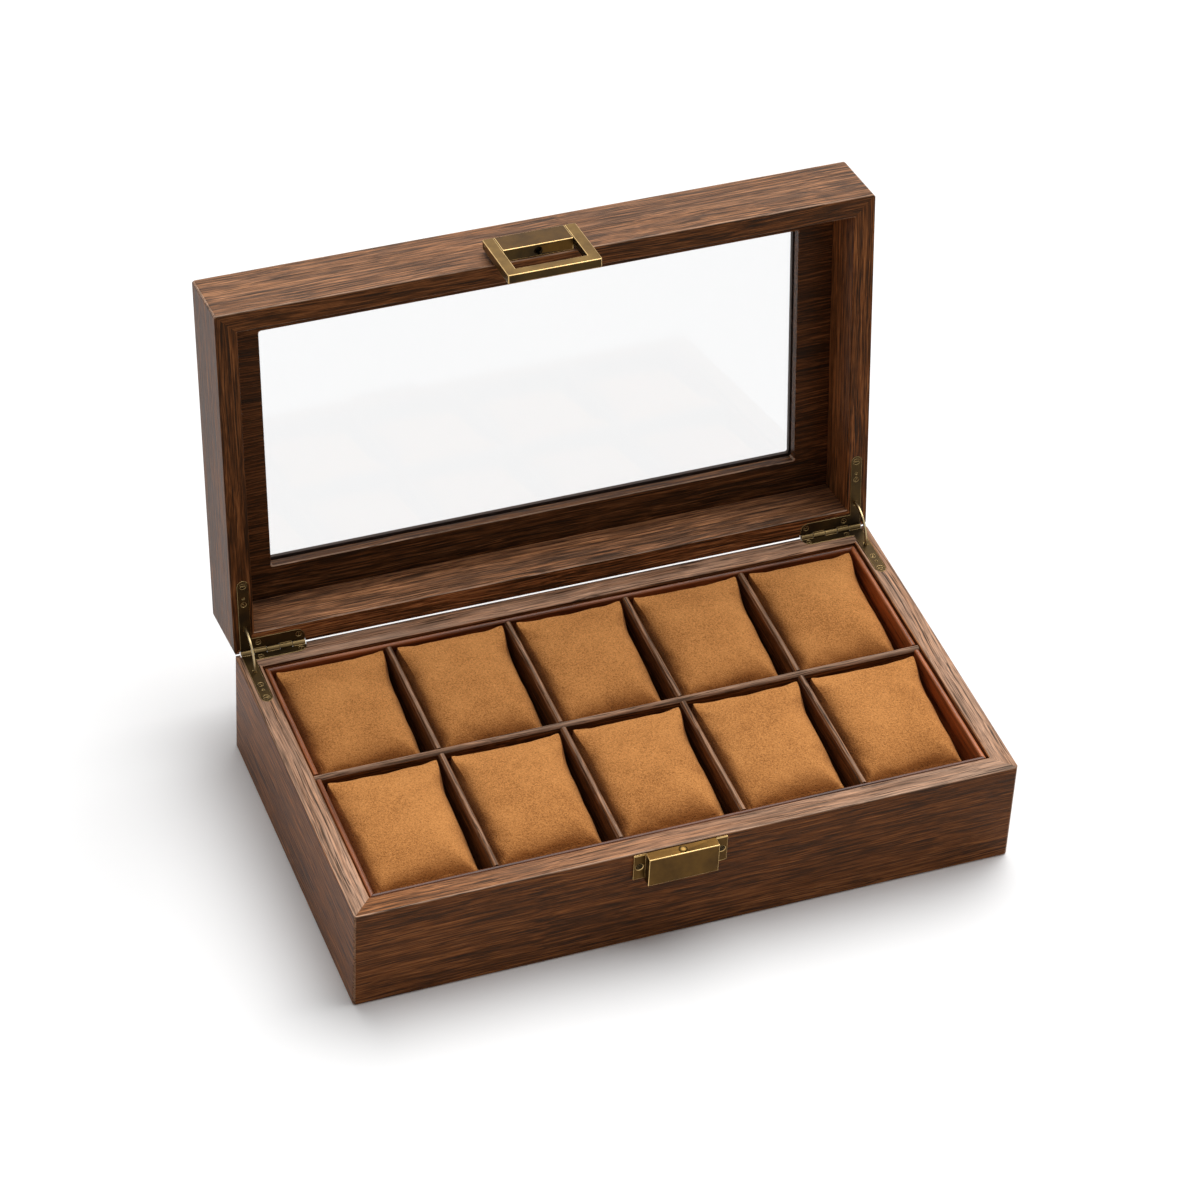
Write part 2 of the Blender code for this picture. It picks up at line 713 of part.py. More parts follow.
CATCH_TOP = BASE_HEIGHT - CATCH_DROP
CATCH_FOOT = CATCH_TOP - CATCH_TALL
CATCH_BACK = WOOD_FRONT - FIT
CATCH_FRONT = WOOD_FRONT - CATCH_PROUD
BLOCK_UNDER = LID_RIM + CATCH_DROP
BLOCK_TOP = BLOCK_UNDER + BLOCK_TALL
BLOCK_FRONT = WOOD_FRONT - BLOCK_PROUD
BAIL_BACK = BLOCK_FRONT + BAIL_THICK
LATCH_PIN_Y = BLOCK_FRONT + BAIL_THICK / 2
BAIL_EAR_REACH = WOOD_FRONT - LATCH_PIN_Y - BAIL_SWING_CLEAR
LATCH_PIN_DROP = math.sqrt(BAIL_EAR_REACH ** 2 - (BAIL_THICK / 2) ** 2)
LATCH_PIN_Z = BLOCK_TOP - LATCH_PIN_DROP
NUB_Y = (CATCH_BACK + CATCH_FRONT) / 2
FLANGE_SCREW_Z = CATCH_TOP - FLANGE_TALL / 2


def flange_screw_x(end):
    return LATCH_X + ENDS[end] * (LATCH_WIDTH + FLANGE_REACH) / 2


def latch_catch():
    """The catch: a block on a screwed flange, with a bore for the nub in its top."""
    bm = bmesh.new()
    half = LATCH_WIDTH / 2
    low = (LATCH_X - half, CATCH_FRONT, CATCH_FOOT)
    add_box(bm, low, (LATCH_X + half, CATCH_BACK - SINK, CATCH_TOP))
    made = place("latch_catch", bm, BRASS)
    flange = bmesh.new()
    reach = half + FLANGE_REACH
    low = (LATCH_X - reach, CATCH_BACK - FLANGE, CATCH_TOP - SINK - FLANGE_TALL)
    add_box(flange, low, (LATCH_X + reach, CATCH_BACK, CATCH_TOP - SINK))
    combine(made, helper("catch_flange", flange), "UNION")
    holes = bmesh.new()
    bottom = CATCH_TOP - NUB_DEEP - NUB_TRAVEL - FIT
    top = CATCH_TOP + OVERRUN
    add_rod(holes, "Z", (LATCH_X, NUB_Y), NUB_RADIUS + FIT, bottom, top)
    near, far = CATCH_BACK - FLANGE - SINK, WOOD_FRONT
    for end in ENDS:
        spot = (flange_screw_x(end), FLANGE_SCREW_Z)
        add_rod(holes, "Y", spot, SCREW_HEAD_RADIUS + FIT, near, far)
    combine(made, helper("catch_holes", holes), "DIFFERENCE")


def catch_screw(end):
    spot = (flange_screw_x(end), FLANGE_SCREW_Z)
    bm = turned_screw(spot, "Y", CATCH_BACK - FLANGE, 1)
    return place(f"catch_screw_{end}", bm, DARK_BRASS, None, True)


def catch_pilots(front_wall):
    bm = bmesh.new()
    far = CATCH_BACK - FLANGE + SCREW_LENGTH + FIT
    for end in ENDS:
        spot = (flange_screw_x(end), FLANGE_SCREW_Z)
        near = WOOD_FRONT - OVERRUN
        add_rod(bm, "Y", spot, SCREW_SHANK_RADIUS + FIT, near, far)
    combine(front_wall, helper("catch_pilots", bm), "DIFFERENCE")


def latch_nub():
    """A sprung nub with a low domed top, which stands in the catch's bore."""
    bm = bmesh.new()
    profile = [(NUB_RADIUS, CATCH_TOP - NUB_DEEP)]
    for across, rise in arc((0, 0), 1, 0, NUB_NOSE_TURN, CORNER_STEPS):
        profile.append((NUB_RADIUS * across, CATCH_TOP + NUB_PROUD * rise))
    loops = [[(x, y, z) for x, y in circle((LATCH_X, NUB_Y), radius)] for radius, z in profile]
    stack(bm, loops, False)
    return place("latch_nub", bm, BRASS, None, True)


def latch_block(lid):
    bm = bmesh.new()
    half = LATCH_WIDTH / 2
    low = (LATCH_X - half, BLOCK_FRONT, BLOCK_UNDER)
    add_box(bm, low, (LATCH_X + half, CATCH_BACK, BLOCK_TOP))
    made = place("latch_block", bm, BRASS, lid)
    holes = bmesh.new()
    spot = (LATCH_PIN_Y, LATCH_PIN_Z)
    start, stop = LATCH_X - half - OVERRUN, LATCH_X + half + OVERRUN
    add_rod(holes, "X", spot, LATCH_PIN_RADIUS + FIT, start, stop)
    low, high = BLOCK_UNDER - OVERRUN, BLOCK_UNDER + NUB_HOLE_DEEP
    add_rod(holes, "Z", (LATCH_X, NUB_Y), NUB_RADIUS + FIT, low, high)
    combine(made, helper("block_holes", holes, lid), "DIFFERENCE")


def bail_outline():
    """The bail seen from the front: a U with its ears up, in X and Z."""
    inner = LATCH_WIDTH / 2 + FIT
    outer = inner + BAIL_WIDTH
    floor = CATCH_FOOT - BAIL_BELOW
    foot = floor - BAIL_WIDTH
    r = BAIL_CORNER
    points = arc((-outer + r, foot + r), r, 180, 270, 2)
    points += arc((outer - r, foot + r), r, 270, 360, 2)
    points += arc((outer - r, BLOCK_TOP - r), r, 0, 90, 2)
    points += [(inner, BLOCK_TOP), (inner, floor), (-inner, floor), (-inner, BLOCK_TOP)]
    points += arc((-outer + r, BLOCK_TOP - r), r, 90, 180, 2)
    return [(LATCH_X + x, z) for x, z in points]


def latch_bail(axis):
    bm = bmesh.new()
    add_prism(bm, bail_outline(), "Y", BLOCK_FRONT, BAIL_BACK)
    made = place("latch_bail", bm, BRASS, axis)
    hole = bmesh.new()
    reach = LATCH_WIDTH / 2 + FIT + BAIL_WIDTH + OVERRUN
    spot = (LATCH_PIN_Y, LATCH_PIN_Z)
    start, stop = LATCH_X - reach, LATCH_X + reach
    add_rod(hole, "X", spot, LATCH_PIN_RADIUS + FIT, start, stop)
    combine(made, helper("bail_hole", hole, axis), "DIFFERENCE")


def latch_pin(lid):
    bm = bmesh.new()
    reach = LATCH_WIDTH / 2 + FIT + BAIL_WIDTH
    spot = (LATCH_PIN_Y, LATCH_PIN_Z)
    start, stop = LATCH_X - reach, LATCH_X + reach
    add_rod(bm, "X", spot, LATCH_PIN_RADIUS, start, stop)
    return place("latch_pin", bm, DARK_BRASS, lid, True)


def build_base():
    walls = {side: base_wall(side) for side in SIDES}
    base_floor()
    base_felt()
    liner("back")
    liner("front")
    for side in ("left", "right"):
        for half in ("back", "front"):
            liner(side, half)
    long_divider()
    for number, x in enumerate(CROSS_PLACES, 1):
        cross_divider(number, x)
    cushions()
    return walls


def build_lid(lid):
    walls = {side: lid_wall(side, lid) for side in SIDES}
    window_panel(lid)
    glass_pane(lid)
    for side in SIDES:
        glazing_bead(side, lid)
    return walls


def build_hinges(base_walls, lid_walls, lid):
    halves = (("base", -1, base_walls, None), ("lid", 1, lid_walls, lid))
    for end in ENDS:
        for half, up, walls, parent in halves:
            hinge_leaf(half, end, up, parent)
            hinge_screw(half, end, up, parent)
            hinge_recess(half, end, up, (walls["back"], walls[end]), parent)
            side_mortises(half, end, up, walls[end], parent)
        hinge_pin(end)
        hinge_stay(end, LID_OPEN)


def build_latch(front_wall, lid):
    latch_catch()
    catch_pilots(front_wall)
    for end in ENDS:
        catch_screw(end)
    latch_nub()
    latch_block(lid)
    latch_pin(lid)
    latch_bail(pivot("latch_bail_axis", (LATCH_X, LATCH_PIN_Y, LATCH_PIN_Z), lid))


clear_scene()
lid_axis = pivot("lid_axis", (0, HINGE_Y, HINGE_Z))
base_boards = build_base()
lid_boards = build_lid(lid_axis)
build_hinges(base_boards, lid_boards, lid_axis)
build_latch(base_boards["front"], lid_axis)
lid_axis.rotation_euler.x = -LID_OPEN
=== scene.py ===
import math

import bmesh
import bpy
from mathutils import Euler, Matrix, Vector, noise


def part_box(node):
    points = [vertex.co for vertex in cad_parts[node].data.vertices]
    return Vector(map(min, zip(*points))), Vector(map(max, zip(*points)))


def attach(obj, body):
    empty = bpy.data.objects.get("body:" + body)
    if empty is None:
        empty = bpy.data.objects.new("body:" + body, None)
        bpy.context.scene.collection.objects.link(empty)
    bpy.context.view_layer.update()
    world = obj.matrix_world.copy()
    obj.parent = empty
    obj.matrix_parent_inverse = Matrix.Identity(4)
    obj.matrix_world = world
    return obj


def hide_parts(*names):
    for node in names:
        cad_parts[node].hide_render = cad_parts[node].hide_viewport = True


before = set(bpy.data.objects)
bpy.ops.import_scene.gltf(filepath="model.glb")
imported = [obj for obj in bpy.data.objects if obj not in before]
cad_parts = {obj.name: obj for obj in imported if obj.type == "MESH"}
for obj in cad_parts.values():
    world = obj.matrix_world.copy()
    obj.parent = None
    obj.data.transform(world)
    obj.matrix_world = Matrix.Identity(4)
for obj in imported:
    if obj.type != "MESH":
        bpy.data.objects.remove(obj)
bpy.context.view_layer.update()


# Setting: the case stands on a white table, seen from the front, above and a little from the
# left, as in the photograph. One wide soft lamp hangs to the right and behind, and the white
# room fills the rest.
CAMERA_PLACE = (-0.569404, -1.355318, 1.382258)
CAMERA_RIGHT = Vector((0.937549, -0.345330, 0.041818))
CAMERA_UP = Vector((0.196182, 0.624197, 0.756234))
CAMERA_AHEAD = Vector((0.287253, 0.700803, -0.652963))
CAMERA_LENS = 136.993
NEAREST_SEEN = 0.01
TABLE_SPAN = 16.0
TABLE_LIT = (0.40, 0.30, 0.22, 1.0)
WHITE = (1.0, 1.0, 1.0, 1.0)
ROOM_FILL = 0.15
LAMP_STRENGTH = 3.45
LAMP_SPREAD = 59
LAMP_FROM = Vector((0.30, 0.30, 0.90))
MIX_INPUTS = (0, 6, 7)  # a Mix node's factor and colours, among its sockets of all kinds
MIX_OUTPUT = 2


def add_node(tree, kind, values=None, **settings):
    """A shader node with its settings and its plain socket values."""
    made = tree.nodes.new(f"ShaderNode{kind}")
    for name, value in settings.items():
        setattr(made, name, value)
    for name, value in (values or {}).items():
        made.inputs[name].default_value = value
    return made


def feed(tree, sockets, values):
    """Give each input socket its value, which is another socket or plain."""
    for socket, value in zip(sockets, values):
        if isinstance(value, bpy.types.NodeSocket):
            tree.links.new(value, socket)
        else:
            socket.default_value = value


def math_node(tree, operation, a, b):
    """A Math node on two sockets or plain numbers."""
    made = add_node(tree, "Math", operation=operation)
    feed(tree, made.inputs, (a, b))
    return made.outputs[0]


def seen_directly(tree):
    """1 for rays from the eye, in mirrors and through glass, and 0 for light on surfaces."""
    path = add_node(tree, "LightPath").outputs
    either = math_node(tree, "MAXIMUM", path["Is Camera Ray"], path["Is Glossy Ray"])
    return math_node(tree, "MAXIMUM", either, path["Is Transmission Ray"])


def mix_colours(tree, share, first, second, blend="MIX"):
    """A colour mix of two sockets or plain colours by a socket or a number."""
    made = add_node(tree, "Mix", data_type="RGBA", blend_type=blend)
    feed(tree, [made.inputs[number] for number in MIX_INPUTS], (share, first, second))
    return made.outputs[MIX_OUTPUT]


def new_look(name):
    """A new material, its node tree and its shader."""
    look = bpy.data.materials.new(name)
    look.use_nodes = True
    return look, look.node_tree, look.node_tree.nodes["Principled BSDF"]


def hang_camera():
    """The camera stands where the photograph's perspective puts it."""
    made = bpy.data.objects.new("camera", bpy.data.cameras.new("camera"))
    bpy.context.scene.collection.objects.link(made)
    turn = Matrix((CAMERA_RIGHT, CAMERA_UP, -CAMERA_AHEAD)).transposed().to_4x4()
    made.matrix_world = Matrix.Translation(CAMERA_PLACE) @ turn
    made.data.lens = CAMERA_LENS
    made.data.clip_start = NEAREST_SEEN
    bpy.context.scene.camera = made


def light_room():
    """The room looks white, but lights the case only a little. The lamp does the rest."""
    world = bpy.data.worlds.new("white_room")
    world.use_nodes = True
    bpy.context.scene.world = world
    tree = world.node_tree
    spare = math_node(tree, "MULTIPLY", seen_directly(tree), 1 - ROOM_FILL)
    strength = math_node(tree, "ADD", spare, ROOM_FILL)
    tree.links.new(strength, tree.nodes["Background"].inputs["Strength"])
    tree.nodes["Background"].inputs["Color"].default_value = WHITE
    lamp = bpy.data.lights.new("soft_lamp", "SUN")
    lamp.energy = LAMP_STRENGTH
    lamp.angle = math.radians(LAMP_SPREAD)
    hung = bpy.data.objects.new("soft_lamp", lamp)
    hung.rotation_euler = LAMP_FROM.to_track_quat("Z", "Y").to_euler()
    bpy.context.scene.collection.objects.link(hung)


def lay_table():
    """The table looks white, but throws back the browner light that walnut gets from below."""
    bpy.ops.mesh.primitive_plane_add(size=TABLE_SPAN)
    table = bpy.context.object
    table.name = "white_table"
    look, tree, shader = new_look("white_table")
    tree.nodes.remove(shader)
    paint = add_node(tree, "BsdfDiffuse")
    colour = mix_colours(tree, seen_directly(tree), TABLE_LIT, WHITE)
    tree.links.new(colour, paint.inputs["Color"])
    tree.links.new(paint.outputs["BSDF"], tree.nodes["Material Output"].inputs["Surface"])
    table.data.materials.append(look)


bpy.context.scene.view_settings.view_transform = "Standard"
hang_camera()
light_room()
lay_table()


# Base walls: four walnut boards, mitred at the corners, oiled and rubbed smooth. Their outer
# edges are rounded over and painted a little paler, for wear and for a highlight, and their rims
# carry a painted sheen. The grain runs along each board.
BOARDS = (("front", "X"), ("back", "X"), ("left", "Y"), ("right", "Y"))
MITRE_GAP = 0.0003
MITRE_SLANT = math.sqrt(0.5)
MITRE_WITHIN = 0.02
ARRIS_REACH = 0.0008
MERGE = 0.000001
FLAT_WITHIN = math.radians(0.5)
SMOOTH_WITHIN = math.radians(40)
BROAD_FACE = 0.98
# Painted light on walnut: edges paler for wear and a painted highlight, rims a painted sheen.
EDGE_WEAR_AND_HIGHLIGHT = 0.85
RIM_SHEEN = 0.60
FRONT_RIM_SHEEN = 0.32
FRONT_RIM_SHEEN_LEAN = 2.4
UPWARDS = Vector((0, 0, 1))
WALNUT_DARK = (0.078, 0.028, 0.0088)
WALNUT_MIDDLE = (0.235, 0.086, 0.028)
WALNUT_LIGHT = (0.420, 0.175, 0.066)
WALNUT_LINE = (0.016, 0.0068, 0.0036, 1.0)
WALNUT_WORN_AND_SHEEN = (0.57, 0.375, 0.265, 1.0)
WALNUT_SHEEN = (1.0, 0.78, 0.60, 1.0)
BOARD_TURNS = {"X": 0, "Y": math.radians(90)}
BOARD_SHIFT = Vector((0.73, 0.31, 0.17))
WAVE_REPEATS = (11, 22)
GRAIN_WAVE = 0.006
STREAK_SHARE = 2.2
LINE_SHARE = 0.80
PORE_SHARE = 0.55
PORE_DEPTH = 0.00012


def choose(*pieces):
    """Select these objects alone, with the first one active."""
    bpy.ops.object.select_all(action="DESELECT")
    for piece in pieces:
        piece.select_set(True)
    bpy.context.view_layer.objects.active = pieces[0]


def copy_mesh(source, name):
    """A new object with its own copy of another object's mesh."""
    piece = bpy.data.objects.new(name, source.data.copy())
    bpy.context.scene.collection.objects.link(piece)
    return piece


def apply(modifier):
    """Make a modifier of the active object part of its mesh."""
    bpy.ops.object.modifier_apply(modifier=modifier.name)


def copy_node(node, name):
    """A merged copy of a CAD node, to finish further. The node itself is left alone."""
    piece = copy_mesh(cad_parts[node], name)
    piece.data.materials.clear()
    choose(piece)
    bpy.ops.object.mode_set(mode="EDIT")
    bpy.ops.mesh.select_all(action="SELECT")
    bpy.ops.mesh.remove_doubles(threshold=MERGE)
    bpy.ops.mesh.dissolve_limited(angle_limit=FLAT_WITHIN)
    bpy.ops.object.mode_set(mode="OBJECT")
    return piece


def is_mitre(normal):
    """Whether a face with this normal is the sawn face of a mitre."""
    across, along = abs(normal.x), math.hypot(normal.y, normal.z)
    return max(abs(across - MITRE_SLANT), abs(along - MITRE_SLANT)) < MITRE_WITHIN


def close_mitres(piece):
    """Push a board's mitred ends out until neighbouring boards meet."""
    bpy.ops.object.mode_set(mode="EDIT")
    shape = bmesh.from_edit_mesh(piece.data)
    for vert in shape.verts:
        shifts = [f.normal for f in vert.link_faces if is_mitre(f.normal)]
        if shifts:
            vert.co += shifts[0] * MITRE_GAP / 2
    bmesh.update_edit_mesh(piece.data)
    bpy.ops.object.mode_set(mode="OBJECT")


def sharpen_arris(piece, corner):
    """Leave the long edge through this corner sharp, where base and lid nearly touch."""
    for vert in piece.data.vertices:
        if (Vector((0, vert.co.y, vert.co.z)) - corner).length < ARRIS_REACH:
            vert.co = (vert.co.x, corner.y, corner.z)
    bpy.ops.object.mode_set(mode="EDIT")
    bpy.ops.mesh.select_all(action="SELECT")
    bpy.ops.mesh.remove_doubles(threshold=MERGE)
    bpy.ops.object.mode_set(mode="OBJECT")


def write_values(piece, name, domain, values):
    """Write a mesh attribute, one number for each point, edge or corner."""
    piece.data.attributes.new(name, "FLOAT", domain).data.foreach_set("value", values)


def mark_wear_and_sheen(piece, turn, sheen_facing, sheen_and_wear, lean, edge_wear_and_highlight):
    """Write how pale each face is painted.

    Rounded edges are paler for wear and a painted highlight, and broad faces toward the light
    get a painted sheen, which can grow along x.
    """
    wear = []
    for face in piece.data.polygons:
        normal = turn @ face.normal
        broad = max(abs(share) for share in normal) > BROAD_FACE or is_mitre(normal)
        # Painted sheen on broad faces toward the light; wear and painted highlight on the edges.
        for index in face.vertices:
            lit_sheen = sheen_and_wear + lean * piece.data.vertices[index].co.x
            if not broad:
                wear.append(edge_wear_and_highlight)
            elif normal.dot(sheen_facing) > BROAD_FACE:
                wear.append(lit_sheen)
            else:
                wear.append(0.0)
    write_values(piece, "wear", "CORNER", wear)


def smooth_faces(piece):
    """Smooth shading on rounded faces, with broad faces kept flat."""
    choose(piece)
    bpy.ops.object.shade_smooth_by_angle(angle=SMOOTH_WITHIN)
    flat = piece.modifiers.new("flat_faces", "WEIGHTED_NORMAL")
    flat.keep_sharp = True
    apply(flat)


def scaled(tree, vector, along, across):
    """Coordinates for a grain pattern, in repeats per metre along and across the board."""
    made = add_node(tree, "Mapping", {"Scale": (along, across, across)})
    tree.links.new(vector, made.inputs["Vector"])
    return made.outputs["Vector"]


def grain(tree, vector, along, across, detail=2.0, roughness=0.5):
    """A noise pattern drawn out along the board."""
    made = add_node(tree, "TexNoise", {"Scale": 1.0, "Detail": detail, "Roughness": roughness})
    tree.links.new(scaled(tree, vector, along, across), made.inputs["Vector"])
    return made.outputs["Fac"]


def ramp(tree, share, stops):
    """A colour ramp from pairs of place and grey or colour."""
    made = add_node(tree, "ValToRGB")
    band = made.color_ramp
    while len(band.elements) < len(stops):
        band.elements.new(1.0)
    for element, (place, colour) in zip(band.elements, stops):
        element.position = place
        element.color = colour if isinstance(colour, tuple) else (colour, colour, colour, 1.0)
    tree.links.new(share, made.inputs["Fac"])
    return made.outputs["Color"]


def vector_node(tree, operation, a, b):
    """A Vector Math node on two sockets or plain vectors."""
    made = add_node(tree, "VectorMath", operation=operation)
    feed(tree, made.inputs, (a, b))
    return made.outputs[0]


def board_vector(tree, axis, seed, tilt):
    """Object coordinates turned so that the board's grain lies along X, gently waved."""
    place = add_node(tree, "TexCoord")
    upright = add_node(tree, "Mapping", {"Rotation": (tilt, 0, BOARD_TURNS[axis]),
                                         "Location": BOARD_SHIFT * seed})
    tree.links.new(place.outputs["Object"], upright.inputs["Vector"])
    wave = add_node(tree, "TexNoise", {"Scale": 1.0, "Detail": 2.0})
    tree.links.new(scaled(tree, upright.outputs["Vector"], *WAVE_REPEATS), wave.inputs["Vector"])
    centred = vector_node(tree, "SUBTRACT", wave.outputs["Color"], (0.5, 0.5, 0.5))
    spread = vector_node(tree, "MULTIPLY", centred, (0.0, GRAIN_WAVE, GRAIN_WAVE))
    return vector_node(tree, "ADD", upright.outputs["Vector"], spread)


def layered(tree, layers):
    """Grain patterns added up by weight, kept about one half on average."""
    total = 0.5 - sum(weight for _, weight in layers) / 2
    for pattern, weight in layers:
        total = math_node(tree, "ADD", math_node(tree, "MULTIPLY", pattern, weight), total)
    return total


def toned(stops, tone):
    """Ramp stops with their colours made darker or lighter by a tone."""
    return [(place, tuple(share * tone for share in shade) + (1.0,)) for place, shade in stops]


def roughen(tree, shader, height, strength, depth):
    """Bump a shader's surface by a height pattern."""
    bump = add_node(tree, "Bump", {"Strength": strength, "Distance": depth})
    tree.links.new(height, bump.inputs["Height"])
    tree.links.new(bump.outputs["Normal"], shader.inputs["Normal"])


def vary_roughness(tree, shader, pattern, least, spread):
    """Let a pattern raise a shader's roughness from its least value, by up to the spread."""
    uneven = math_node(tree, "MULTIPLY", pattern, spread)
    tree.links.new(math_node(tree, "ADD", uneven, least), shader.inputs["Roughness"])


def walnut(name, axis, seed, tilt=0.0, tone=1.0, figure=1.2, roughness=0.46):
    """Oiled walnut: broad bands, fine dark streaks, short open pores, and pale places painted
    for wear, highlight and sheen.

    A higher figure parts its dark and light streaks more strongly.
    """
    look, tree, shader = new_look(name)
    vector = board_vector(tree, axis, seed, tilt)
    threads = grain(tree, vector, 34, 1250, 3.0, 0.75)
    fibres = grain(tree, vector, 70, 3000, 1.0)
    mixed = layered(tree, (
        (grain(tree, vector, 4, 50, 2.0), 0.5 * figure),
        (grain(tree, vector, 10, 330, 3.0, 0.6), 0.5 * figure),
        (threads, 1.1 * figure),
        (fibres, 0.5),
        (grain(tree, vector, 40, 80, 2.0), 0.3),
    ))
    stops = ((0.22, WALNUT_DARK), (0.50, WALNUT_MIDDLE), (0.80, WALNUT_LIGHT))
    colour = ramp(tree, mixed, toned(stops, tone))
    # Paler for wear, and for painted highlight and sheen, where the mesh marks edges and lit faces.
    wear = add_node(tree, "Attribute", attribute_name="wear")
    patchy = ramp(tree, grain(tree, vector, 12, 300, 3.0, 0.6), [(0.38, 0.55), (0.62, 1.0)])
    sheen_and_wear = math_node(tree, "MULTIPLY", wear.outputs["Fac"], patchy)
    colour = mix_colours(tree, sheen_and_wear, colour, WALNUT_WORN_AND_SHEEN)
    parted = STREAK_SHARE * figure
    streaked = math_node(tree, "ADD", math_node(tree, "MULTIPLY", threads, parted), 1 - parted / 2)
    colour = mix_colours(tree, 1.0, colour, streaked, "MULTIPLY")
    lines = ramp(tree, grain(tree, vector, 26, 1150, 2.0, 0.6), [(0.57, 0.0), (0.63, 1.0)])
    lines = math_node(tree, "MULTIPLY", lines, LINE_SHARE)
    colour = mix_colours(tree, lines, colour, WALNUT_LINE)
    pores = ramp(tree, grain(tree, vector, 90, 3000, 1.0), [(0.60, 0.0), (0.70, 1.0)])
    open_pores = math_node(tree, "MULTIPLY", pores, PORE_SHARE)
    colour = mix_colours(tree, open_pores, colour, WALNUT_LINE)
    tree.links.new(colour, shader.inputs["Base Color"])
    vary_roughness(tree, shader, threads, roughness - 0.11, 0.22)
    shader.inputs["Specular IOR Level"].default_value = 0.16
    shader.inputs["Specular Tint"].default_value = WALNUT_SHEEN
    height = math_node(tree, "SUBTRACT", math_node(tree, "MULTIPLY", fibres, 0.5), pores)
    roughen(tree, shader, height, 0.5, PORE_DEPTH)
    return look


def finish_board(node, body, look, turn=Matrix.Identity(3), mitred=True,
                 sheen_facing=UPWARDS, sheen_and_wear=0.0, lean=0.0, edge_wear_and_highlight=EDGE_WEAR_AND_HIGHLIGHT, sharp=None):
    """A wooden board: the CAD board with its mitres closed and its edges shaded round."""
    piece = copy_node(node, f"{node}_board")
    if mitred:
        close_mitres(piece)
    if sharp:
        sharpen_arris(piece, sharp)
    mark_wear_and_sheen(piece, turn, sheen_facing, sheen_and_wear, lean, edge_wear_and_highlight)
    piece.data.materials.append(look)
    smooth_faces(piece)
    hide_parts(node)
    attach(piece, body)
    return piece


for seed, (side, axis) in enumerate(BOARDS, 1):
    board = walnut(f"walnut_base_{side}", axis, seed)
    # Rims get a painted sheen; the front rim's grows paler to the right, where the light falls.
    if side == "front":
        finish_board("base_front_wall", "base", board, sheen_and_wear=FRONT_RIM_SHEEN, lean=FRONT_RIM_SHEEN_LEAN)
    elif side == "back":
        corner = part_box("base_back_wall")[1]
        corner.x = 0
        finish_board("base_back_wall", "base", board, sheen_and_wear=RIM_SHEEN, sharp=corner)
    else:
        finish_board(f"base_{side}_wall", "base", board, sheen_and_wear=RIM_SHEEN)


# Floor: a thin walnut-faced board let into a rabbet under the walls, with a dark felt glued
# under it that keeps the case from scratching what it stands on.
FELT_COLOUR = (0.020, 0.016, 0.014, 1.0)
FELT_TUFT = (0.050, 0.042, 0.036, 1.0)
FELT_PILE = 0.0004


def felt():
    """Pressed felt with a short uneven pile."""
    look, tree, shader = new_look("dark_felt")
    place = add_node(tree, "TexCoord").outputs["Object"]
    tufts = grain(tree, place, 900, 900, 4.0, 0.7)
    tree.links.new(mix_colours(tree, tufts, FELT_COLOUR, FELT_TUFT), shader.inputs["Base Color"])
    shader.inputs["Roughness"].default_value = 1.0
    shader.inputs["Sheen Weight"].default_value = 0.4
    roughen(tree, shader, tufts, 0.8, FELT_PILE)
    return look


def repaint(node, look):
    """Give a CAD node that is shown as it stands its own finish."""
    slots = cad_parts[node].data.materials
    slots.clear()
    slots.append(look)


repaint("base_floor", walnut("walnut_floor", "X", 9))
repaint("base_felt", felt())


# Liner: thin reddish-brown strips, polished, with round top edges, that stand inside the walls
# with a dark line behind them.
LINER_LIGHT = (0.60, 0.185, 0.058)
LINER_MIDDLE = (0.36, 0.105, 0.032)
LINER_DARK = (0.11, 0.032, 0.011)
LINER_FIBRE = 0.00008


def polished_liner(name, axis, seed, tone):
    """Reddish wood under a thin clear polish, with soft long streaks."""
    look, tree, shader = new_look(name)
    vector = board_vector(tree, axis, seed, 0.0)
    streaks = grain(tree, vector, 16, 330, 3.0, 0.6)
    fibres = grain(tree, vector, 90, 2400, 2.0)
    mixed = math_node(tree, "ADD", math_node(tree, "MULTIPLY", streaks, 0.75),
                      math_node(tree, "MULTIPLY", fibres, 0.25))
    stops = ((0.36, LINER_DARK), (0.50, LINER_MIDDLE), (0.66, LINER_LIGHT))
    tree.links.new(ramp(tree, mixed, toned(stops, tone)), shader.inputs["Base Color"])
    vary_roughness(tree, shader, streaks, 0.22, 0.2)
    shader.inputs["Specular IOR Level"].default_value = 0.25
    shader.inputs["Coat Weight"].default_value = 0.12
    shader.inputs["Coat Roughness"].default_value = 0.25
    roughen(tree, shader, fibres, 0.3, LINER_FIBRE)
    return look


LINER_STRIPS = (
    ("liner_back", "X", 0.60),
    ("liner_front", "X", 0.30),
    ("liner_left_back", "Y", 0.75),
    ("liner_left_front", "Y", 0.75),
    ("liner_right_back", "Y", 1.10),
    ("liner_right_front", "Y", 1.10),
)
for seed, (node, axis, tone) in enumerate(LINER_STRIPS, 20):
    strip = polished_liner(f"polished_{node}", axis, seed, tone)
    finish_board(node, "base", strip)


# Dividers: one long strip of walnut and four across, halved over each other, with rounded tops.
# Their rounded tops are painted paler, for wear and for a highlight.
DIVIDER_EDGE_WEAR_AND_HIGHLIGHT = 0.42
DIVIDER_TONE = 0.60
DIVIDERS = [("long_divider", "X")] + [(f"cross_divider_{k}", "Y") for k in range(1, 5)]
for seed, (node, axis) in enumerate(DIVIDERS, 30):
    strip = walnut(f"walnut_{node}", axis, seed, tone=DIVIDER_TONE)
    finish_board(node, "base", strip, mitred=False, edge_wear_and_highlight=DIVIDER_EDGE_WEAR_AND_HIGHLIGHT)


